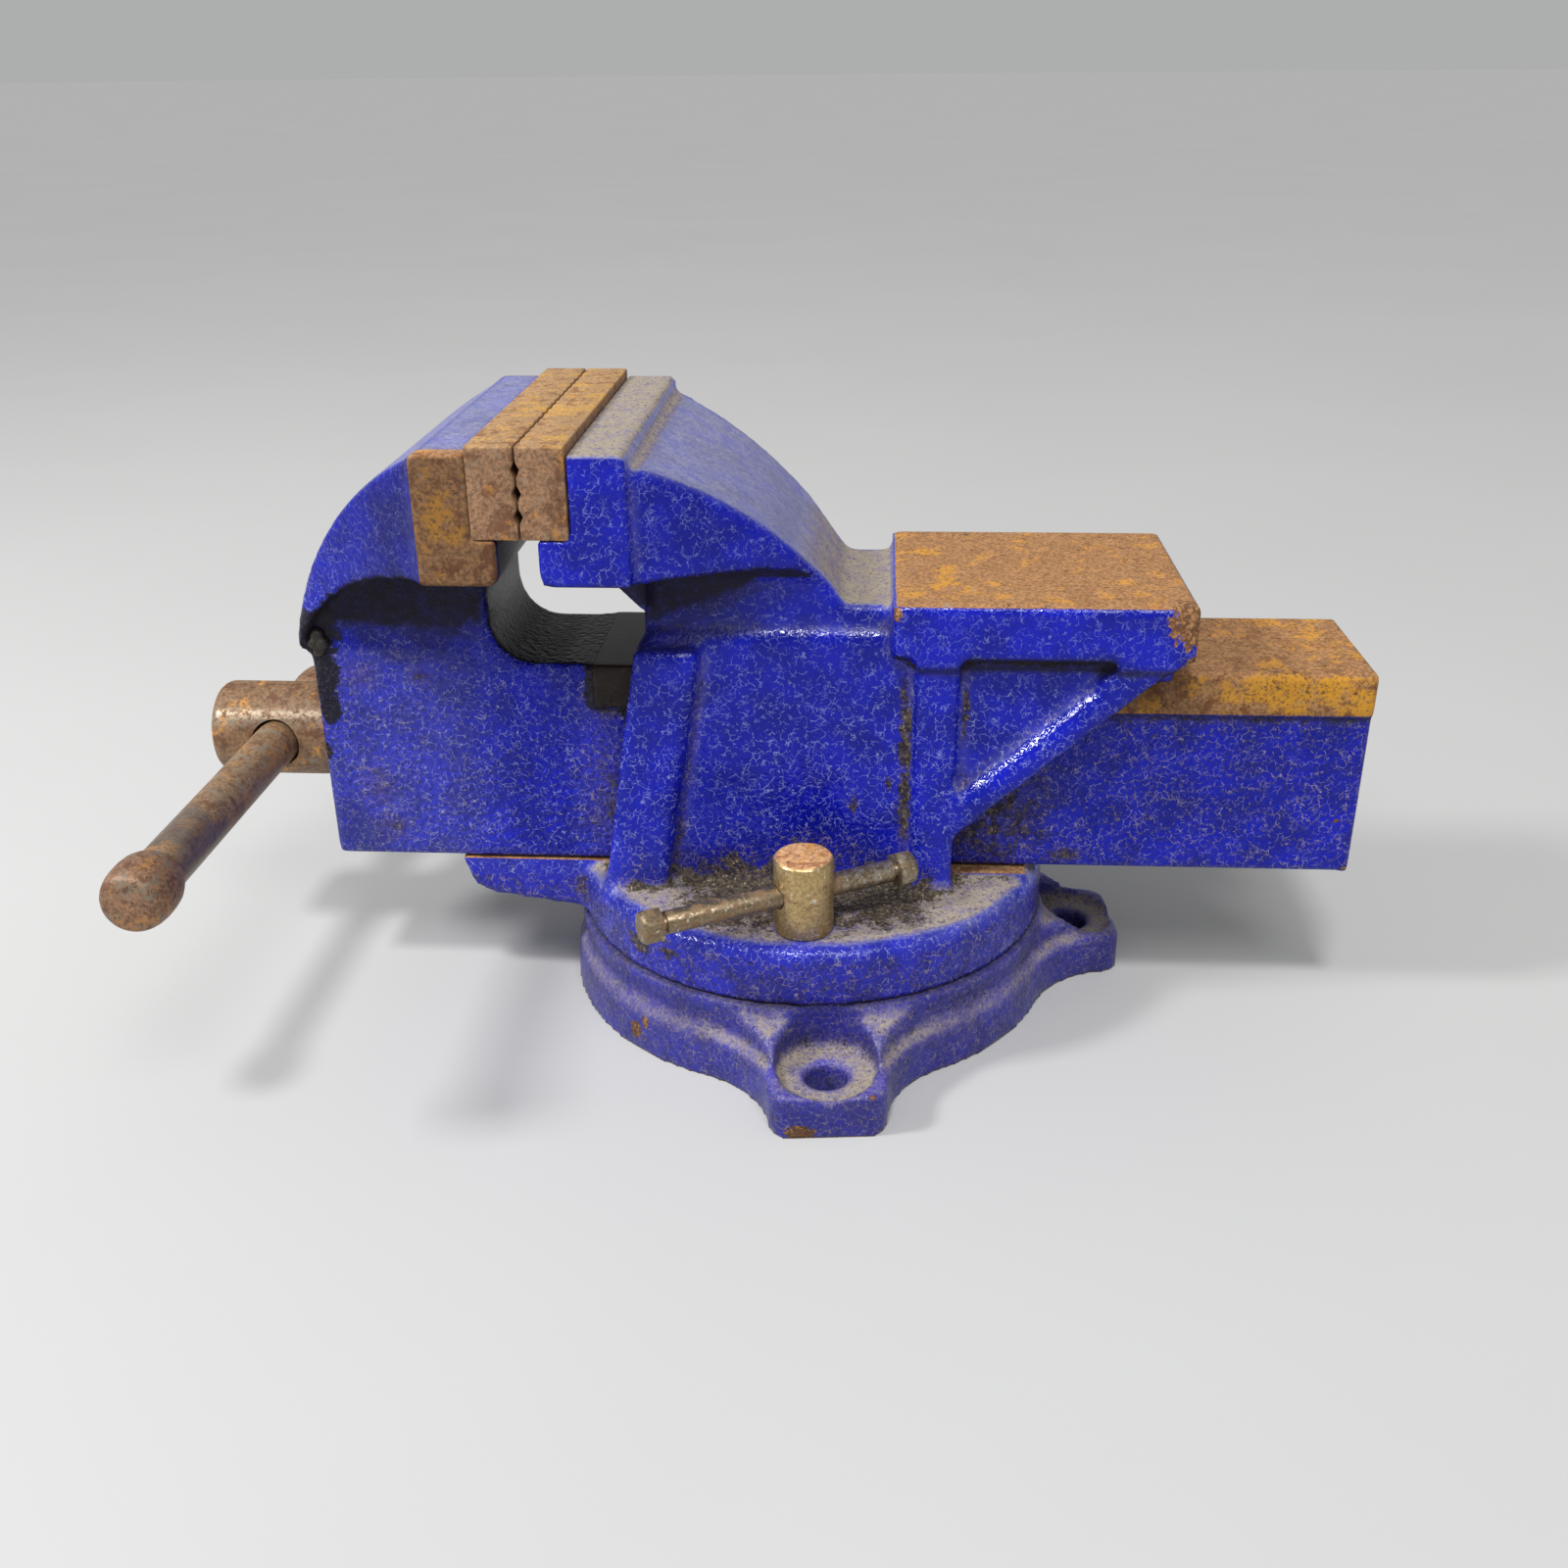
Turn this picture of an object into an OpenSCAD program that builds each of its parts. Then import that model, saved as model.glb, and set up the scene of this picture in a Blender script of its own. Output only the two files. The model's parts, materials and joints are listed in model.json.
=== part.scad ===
// Swivel base bench vise, jaws closed, standing on its base.
// The origin is on the swivel axis at the underside of the base, +Z up.
// The upper vise lies along X, with the moving jaw and handle towards -X,
// and is turned on the base by the swivel angle.

/* [Pose] */
// Angle of the vise on its base, in degrees
swivel_angle = -5; // [-180:1:180]
// Lean of the main handle from level, in degrees
handle_lean = -0.5; // [-180:0.5:180]
// How far the main handle is pushed through the spindle head, towards the front
handle_shift = 36.5; // [-40:0.5:40]
// Angle of the swivel lock bars from the slide, in degrees
lock_bar_angle = 28; // [-8:1:28]
// How far each lock bar is pushed through its screw, away from the ribs
lock_bar_shift = 6.5; // [6:0.5:20]

/* [Swivel base] */
// Radius of the base rim at the bench
base_radius = 69.8; // [69:0.2:76]
// Height of the base, from the bench to the swivel face
base_height = 23.4; // [21:0.2:32]
// Height of the rim and of the lugs' tips
rim_height = 13; // [11:0.5:15]
// How far a lug stands out from the rim
lug_length = 20.2; // [18:0.2:36]
// Width of a lug at its tip
lug_width = 30; // [28:0.5:36]
// Distance from a lug's tip to its bolt hole
bolt_edge = 13; // [11:0.5:14]
// Diameter of a bolt hole
bolt_hole_d = 11; // [8:0.5:14]
// Diameter of the flat round a bolt hole
spotface_d = 26; // [20:0.5:28]
// Height of the flat round a bolt hole
spotface_height = 10; // [7:0.5:11]
// Thickness of the base's wall at the bench
base_wall = 7.2; // [6:0.1:9]
// Width of the swivel lip, inwards from the wall
lip_width = 4.1; // [3:0.1:5]
// Thickness of the swivel lip
lip_thickness = 7.2; // [5:0.2:9]

/* [Swivel flange] */
// Setback of the flange from the base rim
flange_setback = 3.4; // [1:0.2:5]
// Thickness of the flange
flange_thickness = 16.4; // [14:0.2:22]
// Radius of the rounded top edge of the flange
flange_round = 3.5; // [1:0.5:5]
// Distance from the swivel lip in to a lock screw's axis
lock_inset = 5.5; // [5.5:0.1:8]

/* [Slide] */
// Width of the slide over its machined rails
slide_width = 46.4; // [44:0.2:48]
// Height of the slide
slide_height = 58.3; // [54:0.1:66]
// How far the rails stand out from the slide's sides
rail_proud = 1.5; // [0.5:0.1:2.5]
// Height of the rails
rail_height = 11.3; // [6:0.1:16]
// Wall thickness of the slide's sides
slide_wall = 6; // [4:0.2:6.5]
// Thickness of the slide's top
slide_roof = 8; // [6:0.5:12]
// Distance from the jaw line to the rear end of the slide
slide_rear = 215.3; // [205:0.5:240]
// Distance from the jaw line to the front face of the moving jaw
slide_front = 66.2; // [62:0.2:70]
// Thickness of the moving jaw's front wall
front_wall = 12; // [8:0.5:14]

/* [Jaws] */
// Distance from the swivel axis to the line where the jaws meet
jaw_line = 67.4; // [66:0.2:72]
// Width of the jaws
jaw_width = 101.6; // [98:0.1:110]
// Depth from the top of the jaw plates to the top of the slide
throat_depth = 64.5; // [60:0.5:72]
// Height of a jaw plate
plate_height = 22.5; // [20:0.5:25]
// Thickness of a jaw plate over its teeth
plate_thickness = 11.6; // [10:0.1:13]
// How far the plates stand above the castings
plate_proud = 2; // [0.5:0.1:3]
// Gap between the closed plates, at the teeth
jaw_gap = 0.4; // [0.4:0.1:2]
// Pitch of the teeth
tooth_pitch = 5.6; // [2:0.1:8]
// Depth of the teeth
tooth_depth = 0.9; // [0.4:0.1:1.4]
// Height of the jaw heads
head_height = 32.5; // [30:0.5:36]
// Depth of the jaw blocks behind the plates
block_depth = 14.2; // [12:0.2:17]
// Lip of the fixed jaw under its plate
fixed_lip = 8; // [4:0.2:8.5]
// Lip of the moving jaw under its plate
moving_lip = 5.8; // [4:0.2:8.5]
// Setback of the arches from the sides of the jaw blocks
arch_setback = 2.3; // [1:0.1:4]
// Radius of the fixed jaw's arched back
fixed_arch_r = 102; // [90:1:130]
// Radius of the moving jaw's arched back
moving_arch_r = 80; // [76:1:120]
// Radius of the hollow under the moving jaw's head
moving_hollow_r = 43; // [40:0.5:46]
// Distance from the jaw line to the moving jaw's neck
neck_reach = 17.2; // [16:0.2:20]
// Radius between the neck and the slide
throat_fillet = 12; // [6:0.5:16]
// Distance between the screws of a jaw plate
plate_screw_span = 60; // [40:1:70]
// Diameter of a plate screw
plate_screw_d = 6; // [5:0.5:8]

/* [Body] */
// Width of the body over its recessed panels
panel_width = 59; // [56:0.5:62]
// Width of the body over its ribs and the anvil
rib_width = 70; // [66:0.5:74]
// Width of the saddle between the arch and the anvil
saddle_width = 53.4; // [50:0.2:56]
// Slope of the front ribs, in degrees from upright
rib_slope = 11; // [6:0.5:12]
// Width of the front ribs
front_rib = 17; // [12:0.5:20]
// Width of the rear ribs
rear_rib = 11; // [8:0.5:14]
// Distance from the swivel axis to the rear face of the rear ribs
rear_rib_reach = 39; // [34:0.5:44]
// Distance from the jaw line to the body's front face at its head
body_front = 26.4; // [25:0.2:28]
// Reach of the support tongue in front of the swivel axis
tongue_reach = 98.6; // [92:0.2:106]
// Width of the support tongue
tongue_width = 42; // [36:0.5:44]
// Setback of the slide's floor from the flange's edge
floor_setback = 6.4; // [5.4:0.2:16]
// Height of the floor above the flange
floor_rise = 1.7; // [1:0.1:4]

/* [Anvil] */
// Distance from the swivel axis to the anvil's front end
anvil_start = 22; // [18:0.5:24]
// Length of the anvil
anvil_length = 76; // [66:0.5:86]
// Thickness of the anvil
anvil_thickness = 15; // [12:0.5:18]
// Bridge between the slide and the underside of the anvil
bridge = 6.2; // [5:0.2:10]
// Depth of the saddle below the anvil's top
saddle_drop = 3; // [1:0.2:5]
// Slope of the gussets under the anvil, in degrees from level
gusset_slope = 42; // [38:0.5:46]
// Width of the gussets' raised edge
gusset_edge = 9.5; // [7:0.5:13]

/* [Spindle and handle] */
// Diameter of the spindle
spindle_d = 18; // [14:0.2:20]
// Height of the spindle above the slide's underside
spindle_height = 29.8; // [27:0.1:31]
// Diameter of the spindle head
spindle_head_d = 26.6; // [24:0.2:32]
// Length of the spindle head
spindle_head_length = 35.6; // [32:0.2:46]
// Distance from the jaw line to the inner end of the spindle
spindle_end = 194; // [186:0.5:200]
// Diameter of the handle
handle_d = 12.2; // [10:0.2:14]
// Clearance of the handle in its hole, all round
handle_play = 0.8; // [0.4:0.1:1.2]
// Length of the handle over its knobs
handle_length = 143; // [135:1:170]
// Diameter of the handle's knobs
handle_knob_d = 18.2; // [17:0.2:22]
// Length of the handle's knobs
handle_knob_length = 16; // [14:0.5:20]
// Length of the spindle nut
nut_length = 36; // [28:0.5:42]
// Wire of the spindle's spring
spring_wire = 2.4; // [1.5:0.1:2.8]
// Turns of the spindle's spring
spring_turns = 4; // [3:1:5]

/* [Swivel locks] */
// Diameter of a lock screw's head
lock_head_d = 15.6; // [14:0.2:17]
// Height of a lock screw's head
lock_head_height = 20.8; // [17:0.2:24]
// Diameter of a lock screw's thread
lock_thread_d = 10; // [8:0.5:10]
// Diameter of a lock bar
lock_bar_d = 6; // [5:0.2:6.6]
// Length of a lock bar over its ends, as a share of its screw's distance from the swivel axis
lock_bar_share = 1.45; // [1.28:0.01:1.47]
// Width of a lock bar's ends, across flats
lock_bar_end = 8.4; // [7.4:0.2:9]

/* [Hidden] */
$fn = 64;

// Clearances
swivel_gap = 0.2;
slide_gap = 0.3;
running_gap = 0.3;
fit_gap = 0.05;
past = 1;

// Radii of the base and flange
hollow_radius = base_radius - base_wall;
lip_radius = hollow_radius - lip_width;
lug_reach = base_radius + lug_length;
bolt_reach = lug_reach - bolt_edge;
flange_radius = base_radius - flange_setback;
lock_reach = lip_radius - lock_inset;
floor_reach = flange_radius - floor_setback;
spotface_wall = 2;

// Heights
flange_bottom = base_height + swivel_gap;
flange_top = flange_bottom + flange_thickness;
floor_top = flange_top + floor_rise;
slide_bottom = floor_top + slide_gap;
slide_top = slide_bottom + slide_height;
tunnel_top = slide_top + slide_gap;
plate_top = slide_top + throat_depth;
plate_bottom = plate_top - plate_height;
block_top = plate_top - plate_proud;
head_bottom = block_top - head_height;
anvil_bottom = tunnel_top + bridge;
anvil_top = anvil_bottom + anvil_thickness;
saddle_z = anvil_top - saddle_drop;
spindle_z = slide_bottom + spindle_height;
lip_bottom = base_height - lip_thickness;
spigot_bottom = lip_bottom + 1;

// Places along the slide
fixed_plate_x = -jaw_line + jaw_gap / 2 + plate_thickness;
moving_plate_x = -jaw_line - jaw_gap / 2 - plate_thickness;
fixed_block_x = fixed_plate_x + block_depth;
moving_block_x = moving_plate_x - block_depth;
front_x = -jaw_line - slide_front;
rear_x = -jaw_line + slide_rear;
neck_x = -jaw_line - neck_reach;
body_front_x = -jaw_line + body_front;
rail_start_x = fixed_plate_x - 2;
anvil_end = anvil_start + anvil_length;
saddle_run = 12.5;
saddle_start = anvil_start - saddle_run;
head_x = front_x - running_gap;
handle_x = head_x - spindle_head_length / 2 + 1;
spindle_end_x = -jaw_line + spindle_end;
cavity_x = front_x + front_wall;
nut_centre_x = -4;

// Half widths
jaw_half = jaw_width / 2;
arch_half = jaw_half - arch_setback;
slide_half = slide_width / 2;
side_half = slide_half - rail_proud;
cavity_half = side_half - slide_wall;
tunnel_half = slide_half + slide_gap;
panel_half = panel_width / 2;
rib_half = rib_width / 2;
saddle_half = saddle_width / 2;

// Outline points
arch_step = 3.5;
fixed_arch_from = [fixed_block_x, block_top - arch_step];
fixed_arch_to = [saddle_start, saddle_z];
fixed_arch_c = arc_centre(fixed_arch_to, fixed_arch_from, fixed_arch_r);
front_overhang = 2.5;
moving_arch_from = [moving_block_x, block_top - 1.5];
moving_arch_to = [front_x - front_overhang, slide_top + 5];
moving_arch_c = arc_centre(moving_arch_from, moving_arch_to, moving_arch_r);
moving_hollow_c = [moving_block_x - 2.4, head_bottom - moving_hollow_r];
nose_half = side_half + 2;
head_round = 3.5;
head_cove = 8;

// Fasteners and small pieces
screw_z = (plate_top + plate_bottom) / 2;
screw_head_d = 2 * plate_screw_d;
screw_sink = 1.5 + tooth_depth;
screw_grip = 11;
nut_half = cavity_half - 1.2;
nut_bolt_d = 10;
pocket_radius = lock_reach - lock_head_d / 2 - 3;
pocket_top = flange_bottom + 5;
clamp_length = 2 * (hollow_radius - running_gap - lock_reach);
clamp_width = 15;
clamp_height = 8.5;
clamp_top = lip_bottom - swivel_gap;
lock_seat = flange_top;
lock_bar_z = lock_seat + lock_head_height / 2;
lock_bar_length = lock_bar_share * lock_reach;
spring_radius = cavity_half - 0.8 - spring_wire / 2;
spring_from = cavity_x + running_gap;
spring_length = spring_turns * (spring_wire + 1.2);
washer_thickness = 2.5;
washer_from = spring_from + spring_length + spring_wire;
pin_d = 4;
pin_x = washer_from + washer_thickness + pin_d / 2;

// Centre of the arc of radius r that turns left from p to q
function arc_centre(p, q, r) =
    let (mid = (p + q) / 2, across = q - p, rise = sqrt(r * r - across * across / 4))
    mid + rise * [-across[1], across[0]] / norm(across);

// Helpers: profiles drawn as X-Z or Y-Z and drawn out along the third axis
module along_x(from, to) {
    translate([from, 0, 0]) rotate([90, 0, 90]) linear_extrude(to - from) children();
}

module along_y(half) {
    rotate([90, 0, 0]) linear_extrude(2 * half, center = true) children();
}

module both_sides(from, to) {
    for (side = [0, 1]) mirror([0, side, 0])
        translate([0, -from, 0]) rotate([90, 0, 0]) linear_extrude(to - from) children();
}

module cylinder_x(from, to, d) {
    translate([from, 0, 0]) rotate([0, 90, 0]) cylinder(h = to - from, d = d);
}

module box(from, to) {
    translate(from) cube(to - from);
}

// Rectangle with round corners, from one corner to the other
module soft_rectangle(from, to, r) {
    translate(from + [r, 0]) square(to - from - [2 * r, 0]);
    translate(from + [0, r]) square(to - from - [0, 2 * r]);
    for (x = [from[0] + r, to[0] - r], y = [from[1] + r, to[1] - r])
        translate([x, y]) circle(r);
}

// The upper vise, turned on the base
module swivelled() {
    rotate([0, 0, swivel_angle]) children();
}

// The spindle and what turns with it, on its own axis
module on_spindle() {
    translate([0, 0, spindle_z]) rotate([handle_lean, 0, 0]) children();
}

// Swivel base: a ring with an inner lip and three lugs
LUG_ANGLES = [-90, 0, 90];
lug_flare = 28;
lug_corner = 5;
lug_shelf = 3;

// A lug in plan: two flares that meet the rim and the lug's sides smoothly
module lug_outline(inset) {
    flare_y = lug_width / 2 + lug_flare;
    flare_x = sqrt(pow(base_radius + lug_flare, 2) - pow(flare_y, 2));
    start = (base_radius - inset) / (base_radius + lug_flare) * [flare_x, flare_y];
    end = [lug_reach - inset - lug_corner, flare_y];
    difference() {
        polygon([[0, 0], start, end, [end[0], -end[1]], [start[0], -start[1]]]);
        for (side = [-1, 1])
            translate([flare_x, side * flare_y]) circle(lug_flare + inset, $fn = 128);
    }
    soft_rectangle([0, inset - lug_width / 2], [lug_reach - inset, lug_width / 2 - inset], lug_corner);
}

// Section of the lugs' height: level at the tip, then rising to the ring
module lug_section() {
    polygon([[0, 0], [lug_reach + past, 0], [lug_reach + past, rim_height - past],
        [bolt_reach + 6, rim_height], [base_radius - 3, base_height - 2.5], [0, base_height - 2.5]]);
}

module ring_section() {
    foot = base_radius;
    rim = base_radius - 0.8;
    ring = base_radius - 2.4;
    cove = 5;
    difference() {
        polygon([[hollow_radius, 0], [foot, 0], [rim, rim_height - 1.2], [rim - 1, rim_height],
            [ring, rim_height + 0.6], [ring, base_height], [lip_radius, base_height],
            [lip_radius, lip_bottom], [hollow_radius, lip_bottom]]);
        translate([ring + cove - 0.9, rim_height + 0.6 + cove / 2 + 0.6]) circle(cove);
    }
}

module lugs(inset) {
    for (angle = LUG_ANGLES) rotate([0, 0, angle]) lug_outline(inset);
}

module swivel_base() {
    color("mediumblue") difference() {
        union() {
            rotate_extrude() ring_section();
            difference() {
                union() {
                    linear_extrude(rim_height - 0.6) lugs(0);
                    intersection() {
                        linear_extrude(base_height) lugs(lug_shelf);
                        rotate_extrude() lug_section();
                    }
                }
                translate([0, 0, -past]) cylinder(r = hollow_radius, h = base_height + 2 * past);
            }
        }
        for (angle = LUG_ANGLES) rotate([0, 0, angle]) translate([bolt_reach, 0, 0]) {
            translate([0, 0, -past]) cylinder(d = bolt_hole_d, h = base_height);
            difference() {
                translate([0, 0, spotface_height]) cylinder(d = spotface_d, h = base_height);
                translate([-bolt_reach, 0, 0])
                    cylinder(r = hollow_radius + spotface_wall, h = 2 * base_height);
            }
        }
    }
}

// Fixed jaw: flange, body, jaw head and anvil in one casting
module flange_section() {
    polygon(concat([[0, flange_bottom], [flange_radius, flange_bottom]],
        [for (a = [0:15:90]) [flange_radius - flange_round * (1 - cos(a)),
            flange_top - flange_round * (1 - sin(a))]],
        [[0, flange_top]]));
}

// Front edge of the body's ribs at height z
function rib_front(z) = body_front_x - (head_bottom - z) * tan(rib_slope) * 0.82;

module wall_outline() {
    polygon([[rib_front(flange_bottom), flange_bottom + 2], [rear_rib_reach, flange_bottom + 2],
        [rear_rib_reach, anvil_bottom + 5], [body_front_x, anvil_bottom + 5],
        [rib_front(anvil_bottom), anvil_bottom]]);
}

module front_rib_outline() {
    foot = flange_bottom + 4;
    top = anvil_bottom + 2;
    polygon([[rib_front(foot), foot], [rib_front(foot) + front_rib, foot],
        [rib_front(top) + front_rib, top], [rib_front(top), top]]);
}

module rear_rib_outline() {
    polygon([[rear_rib_reach - rear_rib, flange_top - past], [rear_rib_reach, flange_top - past],
        [rear_rib_reach, anvil_bottom + past], [rear_rib_reach - rear_rib, anvil_bottom + past]]);
}

// Gusset under the anvil, from the rear rib out to the anvil's end
function gusset_z(x) = anvil_bottom - (anvil_end - 2.5 - x) * tan(gusset_slope);

module gusset_outline() {
    polygon([[rear_rib_reach - past, gusset_z(rear_rib_reach)], [rear_rib_reach, gusset_z(rear_rib_reach)],
        [anvil_end - 2.5, anvil_bottom], [anvil_end - 2.5, anvil_bottom + past],
        [rear_rib_reach - past, anvil_bottom + past]]);
}

module gusset_edge_outline() {
    drop = gusset_edge / cos(gusset_slope);
    difference() {
        gusset_outline();
        polygon([[rear_rib_reach, gusset_z(rear_rib_reach) + drop], [rear_rib_reach, anvil_bottom + past],
            [anvil_end, anvil_bottom + past], [anvil_end, gusset_z(anvil_end) + drop]]);
    }
}

module fixed_head_outline() {
    soft_rectangle([fixed_plate_x - fixed_lip, head_bottom], [fixed_block_x, plate_bottom], head_round);
    translate([fixed_plate_x, head_bottom]) square([block_depth, plate_bottom - head_bottom + head_round]);
    translate([fixed_plate_x - fixed_lip, plate_bottom - 2 * head_round])
        square([fixed_lip + past, 2 * head_round]);
    polygon([[fixed_plate_x, plate_bottom - past], [fixed_block_x, plate_bottom - past],
        [fixed_block_x, block_top - 1.5], [fixed_block_x - 1.5, block_top], [fixed_plate_x, block_top]]);
}

// What lies under the fixed jaw's arched back, down to height z
module under_fixed_arch(z) {
    intersection() {
        translate(fixed_arch_c) circle(fixed_arch_r, $fn = 128);
        translate([fixed_block_x - past, z])
            square([saddle_start - fixed_block_x + past, block_top - z]);
    }
}

// Plan of the fixed jaw's arch, narrowing from the jaw block to the saddle
module fixed_arch_plan() {
    polygon([[fixed_block_x - past, -arch_half], [fixed_block_x, -arch_half], [saddle_start, -saddle_half],
        [saddle_start, saddle_half], [fixed_block_x, arch_half], [fixed_block_x - past, arch_half]]);
}

module fixed_head() {
    along_y(jaw_half) fixed_head_outline();
    intersection() {
        along_y(arch_half) under_fixed_arch(head_bottom);
        linear_extrude(block_top) fixed_arch_plan();
    }
    intersection() {
        along_x(fixed_block_x - past, saddle_start) for (side = [0, 1]) mirror([side, 0])
            difference() {
                translate([saddle_half - past, head_bottom - head_cove]) square(head_cove + past);
                translate([saddle_half + head_cove, head_bottom - head_cove]) circle(head_cove);
            }
        linear_extrude(block_top) fixed_arch_plan();
        along_y(arch_half) under_fixed_arch(head_bottom - head_cove - past);
    }
    along_y(saddle_half) {
        under_fixed_arch(tunnel_top - past);
        translate([body_front_x, tunnel_top - past])
            square([fixed_block_x - body_front_x + past, head_bottom - tunnel_top + 2 * past]);
        translate([saddle_start - past, tunnel_top - past])
            square([anvil_start - saddle_start + 2 * past, saddle_z - tunnel_top + past]);
    }
}

module tongue_outline() {
    root = rib_front(flange_bottom) + front_rib;
    tip = floor_top - flange_bottom;
    polygon([[-tongue_reach, floor_top], [root, floor_top], [root, flange_bottom + past],
        [-hollow_radius, flange_bottom + 2], [-tongue_reach + tip / 2, flange_bottom + tip / 3],
        [-tongue_reach + tip / 6, flange_bottom + tip / 2]]);
}

module plate_screw_holes(x, direction) {
    for (side = [-1, 1]) translate([x, side * plate_screw_span / 2, screw_z])
        rotate([0, direction * 90, 0])
            translate([0, 0, -past])
                cylinder(d = plate_screw_d + 2 * fit_gap, h = screw_grip + past + fit_gap);
}

module fixed_jaw() {
    color("mediumblue") difference() {
        union() {
            rotate_extrude() flange_section();
            translate([0, 0, spigot_bottom])
                cylinder(r = lip_radius - running_gap, h = flange_bottom - spigot_bottom + past);
            along_y(tongue_width / 2) tongue_outline();
            along_x(rib_front(floor_top), floor_reach) translate([-tunnel_half - 2, flange_bottom + past])
                square([2 * tunnel_half + 4, floor_top - flange_bottom - past]);
            along_y(panel_half) wall_outline();
            along_y(rib_half) {
                front_rib_outline();
                rear_rib_outline();
                gusset_edge_outline();
                soft_rectangle([anvil_start, anvil_bottom], [anvil_end, anvil_top], 1);
            }
            along_y(panel_half) gusset_outline();
            along_x(body_front_x, anvil_end - 4) translate([-panel_half, tunnel_top - past])
                square([2 * panel_half, bridge + 2 * past]);
            fixed_head();
        }
        along_x(-tongue_reach - past, anvil_end + past) translate([-tunnel_half, floor_top])
            square([2 * tunnel_half, tunnel_top - floor_top]);
        translate([0, 0, spigot_bottom - past])
            cylinder(r = pocket_radius, h = pocket_top - spigot_bottom + past);
        for (side = [-1, 1]) {
            translate([0, side * lock_reach, spigot_bottom - past])
                cylinder(d = lock_thread_d + 2 * running_gap, h = lock_seat - spigot_bottom + 2 * past);
            box([-lock_thread_d / 2 - running_gap, side > 0 ? lock_reach : -lip_radius,
                    spigot_bottom - past],
                [lock_thread_d / 2 + running_gap, side > 0 ? lip_radius : -lock_reach, flange_bottom]);
        }
        translate([nut_centre_x, 0, pocket_top - past])
            cylinder(d = nut_bolt_d + 2 * running_gap, h = floor_top - pocket_top + 2 * past);
        plate_screw_holes(fixed_plate_x, 1);
    }
}

// Moving jaw: slide, neck and jaw head in one casting
module slide_section(half, from) {
    translate([-half, from]) square([2 * half, slide_top - from]);
}

module moving_head_outline() {
    soft_rectangle([moving_block_x, head_bottom], [moving_plate_x + moving_lip, plate_bottom], head_round);
    translate([moving_block_x, head_bottom]) square([block_depth, plate_bottom - head_bottom + head_round]);
    translate([moving_plate_x - past, plate_bottom - 2 * head_round])
        square([moving_lip + past, 2 * head_round]);
    polygon([[moving_block_x, plate_bottom - past], [moving_plate_x, plate_bottom - past],
        [moving_plate_x, block_top], [moving_block_x + 1.5, block_top], [moving_block_x, block_top - 1.5]]);
}

// What lies under the moving jaw's arched back, from the front to x and down to height z
module under_moving_arch(x, z) {
    intersection() {
        translate(moving_arch_c) circle(moving_arch_r, $fn = 128);
        translate([front_x - front_overhang, z])
            square([x - front_x + front_overhang, block_top - z]);
    }
}

module moving_wings() {
    intersection() {
        along_y(arch_half) difference() {
            under_moving_arch(moving_block_x + past, slide_top + 1);
            translate(moving_hollow_c) circle(moving_hollow_r, $fn = 96);
        }
        linear_extrude(block_top) polygon([
            [moving_block_x + past, -arch_half], [moving_block_x, -arch_half],
            [front_x - front_overhang, -nose_half], [front_x - front_overhang, nose_half],
            [moving_block_x, arch_half], [moving_block_x + past, arch_half]]);
    }
}

module neck_outline() {
    intersection() {
        union() {
            translate([front_x, slide_bottom]) square([neck_x - front_x, block_top - slide_bottom]);
            difference() {
                translate([neck_x - past, slide_top - past]) square(throat_fillet + past);
                translate([neck_x, slide_top] + throat_fillet * [1, 1]) circle(throat_fillet);
            }
        }
        union() {
            translate(moving_arch_c) circle(moving_arch_r, $fn = 128);
            translate([front_x, slide_bottom]) square([slide_front, slide_height]);
            translate([moving_block_x, slide_bottom])
                square([block_depth + past, head_bottom - slide_bottom + past]);
        }
        translate([front_x, slide_bottom])
            square([slide_front, head_bottom + past - slide_bottom + head_height * 0.6]);
    }
}

module moving_jaw() {
    color("mediumblue") difference() {
        union() {
            along_x(front_x, rear_x) slide_section(side_half, slide_bottom);
            along_x(rail_start_x, rear_x) slide_section(slide_half, slide_top - rail_height);
            along_y(side_half) neck_outline();
            along_y(jaw_half) moving_head_outline();
            moving_wings();
        }
        along_x(cavity_x, rear_x + past) translate([-cavity_half, slide_bottom - past])
            square([2 * cavity_half, slide_height - slide_roof + past]);
        translate([0, 0, spindle_z])
            cylinder_x(front_x - past, cavity_x + past, spindle_d + 2 * running_gap);
        plate_screw_holes(moving_plate_x, -1);
    }
}

// Jaw plates: a bar with cross-cut teeth, which face -X before it is placed
module tooth_grooves(length) {
    teeth = round(length / tooth_pitch);
    pitch = length / teeth;
    for (i = [1:teeth - 1]) translate([0, i * pitch])
        polygon([[-past, -pitch / 3], [0, -pitch / 3], [tooth_depth, 0], [0, pitch / 3], [-past, pitch / 3]]);
}

module jaw_plate() {
    difference() {
        translate([0, -jaw_width / 2, 0]) cube([plate_thickness, jaw_width, plate_height]);
        rotate([90, 0, 0]) linear_extrude(jaw_width + 2 * past, center = true) tooth_grooves(plate_height);
        translate([0, -jaw_width / 2, -past]) linear_extrude(plate_height + 2 * past) tooth_grooves(jaw_width);
        for (side = [-1, 1])
            translate([0, side * plate_screw_span / 2, plate_height / 2]) rotate([0, 90, 0]) {
            translate([0, 0, -past])
                cylinder(d = plate_screw_d + 2 * fit_gap, h = plate_thickness + 2 * past);
            translate([0, 0, -past]) cylinder(d = screw_head_d + 2 * fit_gap, h = screw_sink + past);
            translate([0, 0, screw_sink]) cylinder(d1 = screw_head_d + 2 * fit_gap,
                d2 = plate_screw_d + 2 * fit_gap, h = (screw_head_d - plate_screw_d) / 2);
        }
    }
}

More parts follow.
